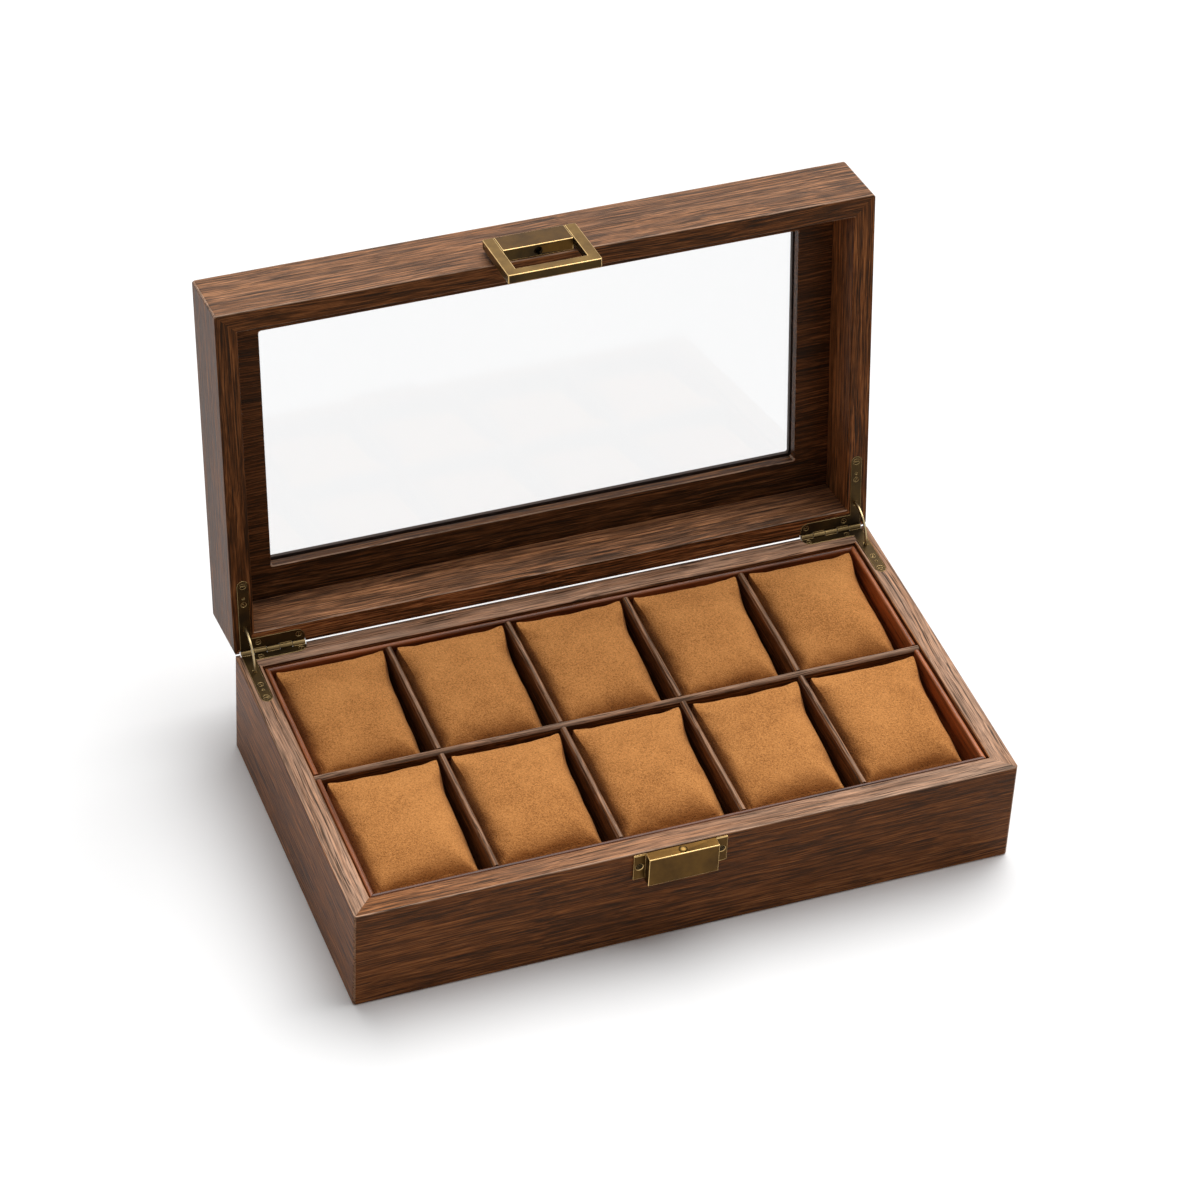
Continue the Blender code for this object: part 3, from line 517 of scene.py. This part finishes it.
# Cushions: ten loose pillows of camel suede, stuffed firm, each in its own compartment. The top
# is crowned, low in front, with two pointed ears behind, and the right side is rounder than the
# left. Three are blown up as cloth, so that the suede puckers, and all ten are copies of them.
PATTERNS = 3
CUSHION_CUTS = 31
PLAN_SQUARENESS = 30
LEFT_SQUARENESS = 7
RIGHT_SQUARENESS = 4.6
BACK_SQUARENESS = 30
EAR_SQUARENESS = 45
SIDE_BLEND = 0.5
EAR_REACH = 8
DRAW_SPREAD = 6
SIDE_DRAW_SHARE = 0.012
END_DRAW_SHARE = 0.020
FRONT_DRAW_SHARE = 0.035
SEAM_DROP_SHARE = 0.09
FRONT_DROP_SHARE = 0.20
EAR_RISE_SHARE = 0.05
CROWN_SPREAD = 2.4
CROWN_FULLNESS = 0.75
CLOTH_FRAMES = 20
CLOTH_SLACK = -0.02
CLOTH_PRESSURE = 3.0
CLOTH_REACH = 0.0009
CLOTH_SHARE = 0.27
EAR_HOLD = ((0.84, 0.95), (0.88, 0.97))
FOOT_HOLD = (0.0, 0.35)
SWELL_HEIGHTS = (0.3, 0.7)
RIPPLE_SCALE = 130
RIPPLE_DEPTH = 0.0004
RIPPLE_SHIFT = Vector((5.3, 2.9, 0))
SUEDE_LIGHT = (0.78, 0.345, 0.105, 1.0)
SUEDE_MIDDLE = (0.63, 0.262, 0.074, 1.0)
SUEDE_DARK = (0.36, 0.138, 0.035, 1.0)
SUEDE_SHEEN = (1.0, 0.62, 0.32, 1.0)
# Painted shade: the suede is darkened where its surface turns from this direction.
SHADE_LIGHT_FROM = Vector((0.16, 0.60, 0.785))
PAINTED_SUEDE_SHADE = (0.42, 0.32, 0.22, 1.0)
SHADE_FADE = (0.22, 0.80)
NAP_DEPTH = 0.00045


def suede():
    """Brushed suede: faint patches where the nap is brushed over, and a fine fibrous speckle.

    Painted shade darkens it where the surface turns from the light.
    """
    look, tree, shader = new_look("camel_suede")
    place = add_node(tree, "TexCoord").outputs["Object"]
    clumps = grain(tree, place, 1100, 1100, 2.0, 0.6)
    speckle = grain(tree, place, 2300, 2300, 2.0, 0.6)
    mixed = layered(tree, (
        (grain(tree, place, 45, 45, 3.0, 0.6), 0.40),
        (clumps, 0.60),
        (speckle, 0.80),
    ))
    colour = ramp(tree, mixed, [(0.30, SUEDE_DARK), (0.50, SUEDE_MIDDLE), (0.70, SUEDE_LIGHT)])
    turned_away = add_node(tree, "Attribute", attribute_name="turned_away").outputs["Fac"]
    shaded = mix_colours(tree, 1.0, colour, PAINTED_SUEDE_SHADE, "MULTIPLY")
    colour = mix_colours(tree, turned_away, colour, shaded)
    tree.links.new(colour, shader.inputs["Base Color"])
    shader.inputs["Roughness"].default_value = 0.95
    shader.inputs["Specular IOR Level"].default_value = 0.15
    shader.inputs["Sheen Weight"].default_value = 0.15
    shader.inputs["Sheen Roughness"].default_value = 0.45
    shader.inputs["Sheen Tint"].default_value = SUEDE_SHEEN
    height = math_node(tree, "ADD", math_node(tree, "MULTIPLY", clumps, 0.8), speckle)
    roughen(tree, shader, height, 1.0, NAP_DEPTH)
    return look


def ease_between(low, high, value):
    """0 below low, 1 above high, and smooth between."""
    share = min(max((value - low) / (high - low), 0.0), 1.0)
    return share * share * (3 - 2 * share)


def top_share(a, b, ear, front):
    """How high the top lies here: full in the middle, low in front, up at the two ears behind."""
    swell = max(0.0, 1 - abs(a) ** CROWN_SPREAD) * max(0.0, 1 - abs(b) ** CROWN_SPREAD)
    low = SEAM_DROP_SHARE * (1 - swell ** CROWN_FULLNESS) + FRONT_DROP_SHARE * front
    return 1 - low + EAR_RISE_SHARE * ear


def pillow_point(co, half):
    """Where a point of a cube's surface lies on the sewn pillow."""
    co = Vector([math.sin(share * math.pi / 2) for share in co])
    plan = abs(co.x) ** PLAN_SQUARENESS + abs(co.y) ** PLAN_SQUARENESS
    reach = plan ** (1 / PLAN_SQUARENESS)
    back, front = max(co.y, 0) ** EAR_REACH, ((1 - co.y) / 2) ** 2
    ear = back * abs(co.x) ** EAR_REACH
    rightness = ease_between(-SIDE_BLEND, SIDE_BLEND, co.x)
    section = LEFT_SQUARENESS + (RIGHT_SQUARENESS - LEFT_SQUARENESS) * rightness
    section += (BACK_SQUARENESS - section) * back
    section += (EAR_SQUARENESS - BACK_SQUARENESS) * ear
    a, b, c = co / (reach ** section + abs(co.z) ** section) ** (1 / section)
    width = 1 - SIDE_DRAW_SHARE * (1 - abs(b) ** DRAW_SPREAD) - FRONT_DRAW_SHARE * front
    depth = 1 - END_DRAW_SHARE * (1 - a * a)
    height = top_share(a, b, ear, front) if c > 0 else 1
    return Vector((a * half.x * width, b * half.y * depth, c * half.z * height))


def sew_pillow(half):
    """One pillow round the origin, drawn out of a finely divided cube."""
    bpy.ops.mesh.primitive_cube_add(size=2)
    piece = bpy.context.object
    bpy.ops.object.mode_set(mode="EDIT")
    bpy.ops.mesh.select_all(action="SELECT")
    bpy.ops.mesh.subdivide(number_cuts=CUSHION_CUTS)
    bpy.ops.object.mode_set(mode="OBJECT")
    for vert in piece.data.vertices:
        vert.co = pillow_point(vert.co, half)
    return piece


def stuff_pillow(piece, half, seed):
    """Blow the pillow up as cloth, held at its ears and foot, so that its suede puckers."""
    held = piece.vertex_groups.new(name="held")
    swell = piece.vertex_groups.new(name="swell")
    sewn = [vert.co.copy() for vert in piece.data.vertices]
    for vert, spot in zip(piece.data.vertices, sewn):
        a, b, c = abs(spot.x) / half.x, abs(spot.y) / half.y, spot.z / half.z
        ear = ease_between(*EAR_HOLD[0], a) * ease_between(*EAR_HOLD[1], b)
        hold = max(ear, 1 - ease_between(*FOOT_HOLD, c))
        held.add([vert.index], hold, "REPLACE")
        swell.add([vert.index], ease_between(*SWELL_HEIGHTS, c), "REPLACE")
        ripple = noise.noise(spot * RIPPLE_SCALE + RIPPLE_SHIFT * seed)
        vert.co = spot + vert.normal * ripple * RIPPLE_DEPTH * (1 - hold)
    cloth = piece.modifiers.new("suede_cloth", "CLOTH")
    settings = cloth.settings
    settings.vertex_group_mass = held.name
    settings.vertex_group_pressure = swell.name
    settings.use_pressure = True
    settings.uniform_pressure_force = CLOTH_PRESSURE
    settings.shrink_min = CLOTH_SLACK
    settings.effector_weights.gravity = 0
    for frame_number in range(1, CLOTH_FRAMES + 1):
        bpy.context.scene.frame_set(frame_number)
    choose(piece)
    apply(cloth)
    bpy.context.scene.frame_set(1)
    for vert, spot in zip(piece.data.vertices, sewn):
        move = (vert.co - spot) * CLOTH_SHARE
        if move.length > CLOTH_REACH:
            move *= CLOTH_REACH / move.length
        vert.co = Vector([min(max(value, -most), most) for value, most in zip(spot + move, half)])
    finer = piece.modifiers.new("finer", "SUBSURF")
    finer.levels = 1
    finer.render_levels = 1
    apply(finer)


def mark_painted_shade(piece):
    """Write how far each point turns from the light, for the painted shade on the suede."""
    away = [1 - ease_between(*SHADE_FADE, vert.normal.dot(SHADE_LIGHT_FROM))
            for vert in piece.data.vertices]
    write_values(piece, "turned_away", "POINT", away)


def middle_of(node):
    """The middle of a CAD node's box."""
    low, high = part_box(node)
    return (low + high) / 2


def lay_pillow(pattern, node, look):
    """A copy of a sewn pillow in its compartment."""
    piece = copy_mesh(pattern, f"{node}_pillow")
    piece.data.transform(Matrix.Translation(middle_of(node)))
    mark_painted_shade(piece)
    choose(piece)
    bpy.ops.object.shade_smooth()
    piece.data.materials.append(look)
    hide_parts(node)
    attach(piece, node)


camel_suede = suede()
box_low, box_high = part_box("cushion_back_1")
cushion_half = (box_high - box_low) / 2
patterns = []
for seed in range(PATTERNS):
    pattern = sew_pillow(cushion_half)
    stuff_pillow(pattern, cushion_half, seed)
    patterns.append(pattern)
for k in range(5):
    lay_pillow(patterns[k % PATTERNS], f"cushion_back_{k + 1}", camel_suede)
    lay_pillow(patterns[(k + 2) % PATTERNS], f"cushion_front_{k + 1}", camel_suede)
for pattern in patterns:
    bpy.data.objects.remove(pattern)


# Lid walls: four walnut boards mitred like the base's, which stand open on the hinges. Their
# grain follows the boards, so the patterns are turned back by the lid's angle.
LID_ANGLE = math.radians(98)
LID_TURN = Euler((LID_ANGLE, 0, 0)).to_matrix()
# Painted sheen on the lid faces that face up while it stands open.
LID_SHEEN = 0.14
FORWARDS = Vector((0, -1, 0))
# Painted light and shade: each lid board toned lighter or darker for the light that falls on it.
LID_LIGHT_AND_SHADE_TONES = {"front": 0.62, "back": 0.95, "left": 0.60, "right": 0.92}
LID_FIGURE = 1.7
RIM_LEVELS = {"base": 0.0520, "lid": 0.0524}


def swung(spot, half):
    """A point given for the shut case, as it lies now: turned with the lid, or left in the base."""
    if half == "base":
        return Vector(spot)
    axis = middle_of("hinge_pin_left")
    axis.x = 0
    return axis + LID_TURN.transposed() @ (Vector(spot) - axis)


corner = swung((0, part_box("base_back_wall")[1].y, RIM_LEVELS["lid"]), "lid")
# Each board is toned for the light on it, and its forward faces get a painted sheen.
for seed, (side, axis) in enumerate(BOARDS, 11):
    board = walnut(f"walnut_lid_{side}", axis, seed, LID_ANGLE, LID_LIGHT_AND_SHADE_TONES[side], LID_FIGURE)
    finish_board(f"lid_{side}_wall", "lid", board, LID_TURN, sheen_facing=FORWARDS, sheen_and_wear=LID_SHEEN,
                 sharp=corner if side == "back" else None)


# Window panel: one walnut board let into the lid walls, with the window cut in it, so that
# its grain runs on across all four sides; it is toned dark with painted shade. The glazing
# beads are thin strips, stained grey-black and mitred at their ends.
# Painted shade: the panel is toned dark for the little light that reaches it.
PANEL_SHADE_TONE = 0.44
BEAD_TONE = 0.4
BEAD_STAIN = (0.050, 0.042, 0.042, 1.0)
STAIN_SHARE = 0.8


def stained_bead(name, axis, seed):
    """Walnut under a thin grey-black stain that hides most of its grain."""
    look = walnut(name, axis, seed, LID_ANGLE, tone=BEAD_TONE, roughness=0.40)
    tree = look.node_tree
    base = tree.nodes["Principled BSDF"].inputs["Base Color"]
    grained = base.links[0].from_socket
    tree.links.new(mix_colours(tree, STAIN_SHARE, grained, BEAD_STAIN), base)
    return look


panel_look = walnut("walnut_window_panel", "X", 15, LID_ANGLE, PANEL_SHADE_TONE, LID_FIGURE)
finish_board("window_panel", "lid", panel_look, LID_TURN, mitred=False)
for seed, (side, axis) in enumerate(BOARDS, 16):
    bead = stained_bead(f"stained_bead_{side}", axis, seed)
    finish_board(f"glazing_bead_{side}", "lid", bead, LID_TURN)


# Pane: 2 mm clear glass with ground edges, held in the panel's rabbet by the beads.
GLASS_TINT = (0.918, 0.92, 0.922, 1.0)
GLASS_SLANT = 0.08


def pane_glass():
    """Thin clear glass that lets the light through and mirrors a little at a slant."""
    look, tree, shader = new_look("clear_glass")
    tree.nodes.remove(shader)
    clear = add_node(tree, "BsdfTransparent", {"Color": GLASS_TINT})
    mirror = add_node(tree, "BsdfGlossy")
    place = add_node(tree, "TexCoord").outputs["Object"]
    smears = grain(tree, place, 12, 12, 4.0, 0.6)
    tree.links.new(math_node(tree, "MULTIPLY", smears, 0.08), mirror.inputs["Roughness"])
    slant = add_node(tree, "LayerWeight", {"Blend": GLASS_SLANT})
    both = add_node(tree, "MixShader")
    tree.links.new(slant.outputs["Facing"], both.inputs["Fac"])
    tree.links.new(clear.outputs["BSDF"], both.inputs[1])
    tree.links.new(mirror.outputs["BSDF"], both.inputs[2])
    tree.links.new(both.outputs["Shader"], tree.nodes["Material Output"].inputs["Surface"])
    return look


repaint("glass_pane", pane_glass())


# Hinges: quadrant hinges of dark antique brass let flush into both rims, each of two L-shaped
# leaves that roll round one pin. A curved stay arm slides through both leaves, and countersunk
# screws with slotted heads hold each leaf, next to one empty pin hole.
BRASS_DULL = (0.058, 0.035, 0.012, 1.0)
BRASS_PATINA = (0.025, 0.017, 0.009, 1.0)
# Bright brass on eased edges: wear, and a painted highlight that the edges catch.
BRASS_WORN_HIGHLIGHT = (0.82, 0.56, 0.25, 1.0)
WORN_HIGHLIGHT_PATINA = (0.50, 0.33, 0.13, 1.0)
STAY_DULL = (0.55, 0.43, 0.24, 1.0)
STAY_PATINA = (0.33, 0.25, 0.13, 1.0)
LEAF_BEVEL = 0.00012
STAY_BEVEL = 0.00015
SCREW_BEVEL = 0.00008
PIN_BEVEL = 0.00005
KNUCKLE_DULL = (0.17, 0.116, 0.050, 1.0)
KNUCKLE_PATINA = (0.090, 0.061, 0.026, 1.0)
KNUCKLE_REACH = 0.0016
# Brighter brass on leaf and screw edges: wear and a painted highlight.
EDGE_DULL = (0.45, 0.31, 0.135, 1.0)
EDGE_PATINA = (0.27, 0.18, 0.075, 1.0)
LEG_X = 0.1446
END_SCREWS = {"base": (LEG_X, 0.05525), "lid": (LEG_X, 0.05045)}
SMALL_SCREWS = {
    "base": ((LEG_X, 0.0640), (0.1390, 0.0816), (0.1205, 0.0816)),
    "lid": ((LEG_X, 0.0600), (0.1390, 0.0808), (0.1205, 0.0808)),
}
PIN_HOLES = {"base": (LEG_X, 0.0602), "lid": (LEG_X, 0.0568)}
HEAD_RADIUS = 0.0011
HEAD_TALL = 0.0006
HEAD_SUNK = 0.0001
HEAD_SIDES = 24
HEAD_TURN = 1.1
COUNTERSINK = 0.00015
PIN_HOLE_RADIUS = 0.0006
BORE_FIT = 0.0004
DRIVE_SLOT = 0.00035
DRIVE_DEPTH = 0.0003
BRUSH_DEPTH = 0.00005


def antique_brass(name, dull, patina, roughness):
    """Aged brass: brushed, with darker patches of patina."""
    look, tree, shader = new_look(name)
    place = add_node(tree, "TexCoord").outputs["Object"]
    patches = grain(tree, place, 75, 75, 5.0, 0.65)
    brushed = grain(tree, place, 250, 5200, 2.0)
    share = ramp(tree, patches, [(0.36, 0.0), (0.66, 1.0)])
    tree.links.new(mix_colours(tree, share, dull, patina), shader.inputs["Base Color"])
    shader.inputs["Metallic"].default_value = 1.0
    vary_roughness(tree, shader, brushed, roughness - 0.1, 0.25)
    roughen(tree, shader, brushed, 0.25, BRUSH_DEPTH)
    return look


def in_bore(spot, half):
    """Whether a spot lies in the nub's bore, in the base's catch or the lid's block."""
    nub = middle_of("latch_nub")
    mouth = swung(nub, half)
    along = swung(nub + UPWARDS, half) - mouth
    away = spot - mouth
    return (away - away.dot(along) * along).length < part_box("latch_nub")[1].x - nub.x + BORE_FIT


def is_eased(edge, shortest, bored):
    """Whether an edge is sharp, long enough, and not in the bore."""
    if not edge.is_manifold or edge.calc_face_angle() <= SMOOTH_WITHIN:
        return False
    first, second = edge.verts
    if bored and in_bore((first.co + second.co) / 2, bored):
        return False
    return edge.calc_length() > shortest


def ease_edges(piece, looks, width, shortest=0.0, bored=None):
    """Give a metal part its looks and bevel its sharp edges, the bevels in the last look."""
    for look in looks:
        piece.data.materials.append(look)
    shape = bmesh.new()
    shape.from_mesh(piece.data)
    eased = [float(is_eased(edge, shortest, bored)) for edge in shape.edges]
    shape.free()
    write_values(piece, "bevel_weight_edge", "EDGE", eased)
    ease = piece.modifiers.new("eased_edges", "BEVEL")
    ease.width = width
    ease.use_clamp_overlap = False
    ease.segments = 2
    ease.limit_method = "WEIGHT"
    ease.material = len(looks) - 1
    choose(piece)
    apply(ease)
    smooth_faces(piece)


def cut_away(piece, cutter):
    """Cut another object out of a piece, and remove it."""
    cut = piece.modifiers.new("cut", "BOOLEAN")
    cut.operation = "DIFFERENCE"
    cut.object = cutter
    choose(piece)
    apply(cut)
    bpy.data.objects.remove(cutter)


def finish_metal(node, body, looks, bevel, cutters=(), shortest=0.0, bored=None):
    """A metal part: the CAD part, cut and then with its edges eased and painted bright.

    The bright edges stand for wear and a painted highlight.
    """
    piece = copy_node(node, f"{node}_metal")
    for cutter in cutters:
        cut_away(piece, cutter)
    ease_edges(piece, looks, bevel, shortest, bored)
    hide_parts(node)
    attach(piece, body)
    return piece


def leaf_turn(half):
    """The turn that faces a thing drawn facing up out of a half's rim."""
    return (0, 0, 0) if half == "base" else (math.pi - LID_ANGLE, 0, 0)


def on_leaf(half, side, place):
    """The point on a leaf's face that a place given for the shut case stands for."""
    return swung((side * place[0], place[1], RIM_LEVELS[half]), half)


def pit(half, side, place, radius, depth):
    """A cutter for a round pit of this depth in a hinge leaf."""
    bpy.ops.mesh.primitive_cylinder_add(vertices=HEAD_SIDES, radius=radius, depth=2 * depth,
                                        location=on_leaf(half, side, place),
                                        rotation=leaf_turn(half))
    return bpy.context.object


def drive_slot(spot, turn):
    """A cutter for the slot across a screw's head."""
    bpy.ops.mesh.primitive_cube_add(size=1, location=spot, rotation=turn,
                                    scale=(4 * HEAD_RADIUS, DRIVE_SLOT, 2 * DRIVE_DEPTH))
    return bpy.context.object


def turn_head():
    """One slotted screw head, facing up with its top at the origin."""
    bpy.ops.mesh.primitive_cylinder_add(vertices=HEAD_SIDES, radius=HEAD_RADIUS,
                                        depth=HEAD_TALL, location=(0, 0, -HEAD_TALL / 2))
    bpy.ops.object.transform_apply(location=True)
    head = bpy.context.object
    cut_away(head, drive_slot((0, 0, 0), (0, 0, 0)))
    ease_edges(head, (dark_brass, edge_brass), SCREW_BEVEL)
    return head


def drive_screws(half, head):
    """Copies of the head in a half's leaves, joined into one piece."""
    heads = []
    facing = Euler(leaf_turn(half)).to_matrix().to_4x4()
    sunk = Matrix.Translation((0, 0, -HEAD_SUNK))
    for side in (-1, 1):
        for number, place in enumerate(SMALL_SCREWS[half]):
            there = Matrix.Translation(on_leaf(half, side, place))
            driven = Matrix.Rotation(HEAD_TURN * number + side, 4, "Z")
            copy = copy_mesh(head, f"hinge_small_screws_{half}")
            copy.data.transform(there @ facing @ driven @ sunk)
            heads.append(copy)
    choose(*heads)
    bpy.ops.object.join()
    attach(heads[0], half)


def brighten_knuckles(leaf):
    """The rolled knuckles are handled more than the leaf, and are brighter."""
    middle = middle_of("hinge_pin_left")
    for face in leaf.data.polygons:
        away = math.hypot(face.center.y - middle.y, face.center.z - middle.z)
        if face.material_index == 0 and away < KNUCKLE_REACH:
            face.material_index = 1


dark_brass = antique_brass("dark_antique_brass", BRASS_DULL, BRASS_PATINA, 0.42)
knuckle_brass = antique_brass("knuckle_brass", KNUCKLE_DULL, KNUCKLE_PATINA, 0.36)
edge_brass = antique_brass("edge_brass", EDGE_DULL, EDGE_PATINA, 0.34)
rubbed_brass = antique_brass("rubbed_brass", BRASS_WORN_HIGHLIGHT, WORN_HIGHLIGHT_PATINA, 0.34)
stay_brass = antique_brass("stay_brass", STAY_DULL, STAY_PATINA, 0.3)
for end, side in (("left", -1), ("right", 1)):
    for half in ("base", "lid"):
        pits = [pit(half, side, place, HEAD_RADIUS + COUNTERSINK, HEAD_TALL + HEAD_SUNK)
                for place in SMALL_SCREWS[half]]
        pits.append(pit(half, side, PIN_HOLES[half], PIN_HOLE_RADIUS, HEAD_TALL))
        looks = (dark_brass, knuckle_brass, edge_brass)
        leaf = finish_metal(f"hinge_leaf_{half}_{end}", half, looks, LEAF_BEVEL, pits)
        brighten_knuckles(leaf)
        slots = [drive_slot(on_leaf(half, side, END_SCREWS[half]), leaf_turn(half))]
        finish_metal(f"hinge_screw_{half}_{end}", half, (dark_brass, edge_brass),
                     SCREW_BEVEL, slots)
    finish_metal(f"hinge_pin_{end}", "base", (knuckle_brass, rubbed_brass),
                 PIN_BEVEL)
    finish_metal(f"hinge_stay_{end}", f"stay_{end}", (stay_brass,), STAY_BEVEL)
screw_head = turn_head()
for half in ("base", "lid"):
    drive_screws(half, screw_head)
bpy.data.objects.remove(screw_head)


# Latch: a brass catch screwed to the base with a sprung brass nub in its top, a brass block on
# the lid, and a bail that swings on a pin through the block and drops round the catch.
EDGE_BEVEL = 0.00030
LONG_EDGE = 0.0006
SMALL_BEVEL = 0.0001
FACING_IN = 0.5
FACING_OUT = 0.8
CATCH_SCREWS = (("left", 0.5), ("right", -0.9))
LATCH_DULL = (0.105, 0.054, 0.012, 1.0)
LATCH_PATINA = (0.060, 0.030, 0.0075, 1.0)
BAIL_DULL = (0.22, 0.130, 0.036, 1.0)
BAIL_PATINA = (0.120, 0.066, 0.018, 1.0)
latch_brass = antique_brass("latch_brass", LATCH_DULL, LATCH_PATINA, 0.36)
bail_brass = antique_brass("bail_brass", BAIL_DULL, BAIL_PATINA, 0.34)


def shade_window(bail):
    """Painted shade in the bail's window; its forward faces also take the darker brass."""
    middle = middle_of("latch_bail")
    for face in bail.data.polygons:
        inwards = middle - face.center
        inwards.y = 0
        hidden = face.normal.dot(inwards.normalized()) > FACING_IN
        if face.material_index == 0 and (hidden or face.normal.dot(FORWARDS) > FACING_OUT):
            face.material_index = 1


def shade_bore(block):
    """Painted shade in the bore that the nub snaps into."""
    inwards = LID_TURN.transposed() @ UPWARDS
    for face in block.data.polygons:
        if in_bore(face.center, "lid") and face.normal.dot(inwards) < FACING_IN:
            face.material_index = 1


finish_metal("latch_catch", "base", (latch_brass, rubbed_brass),
             EDGE_BEVEL, shortest=LONG_EDGE, bored="base")
block = finish_metal("latch_block", "lid", (latch_brass, dark_brass, rubbed_brass),
                     EDGE_BEVEL, shortest=LONG_EDGE, bored="lid")
shade_bore(block)
bail = finish_metal("latch_bail", "bail", (bail_brass, dark_brass, rubbed_brass),
                    EDGE_BEVEL, shortest=LONG_EDGE)
shade_window(bail)
finish_metal("latch_pin", "lid", (dark_brass, rubbed_brass), SMALL_BEVEL)
finish_metal("latch_nub", "nub", (bail_brass,), SMALL_BEVEL)
for end, lean in CATCH_SCREWS:
    face = middle_of(f"catch_screw_{end}")
    face.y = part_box(f"catch_screw_{end}")[0].y
    finish_metal(f"catch_screw_{end}", "base", (dark_brass, knuckle_brass),
                 SCREW_BEVEL, [drive_slot(face, (math.pi / 2, lean, 0))])
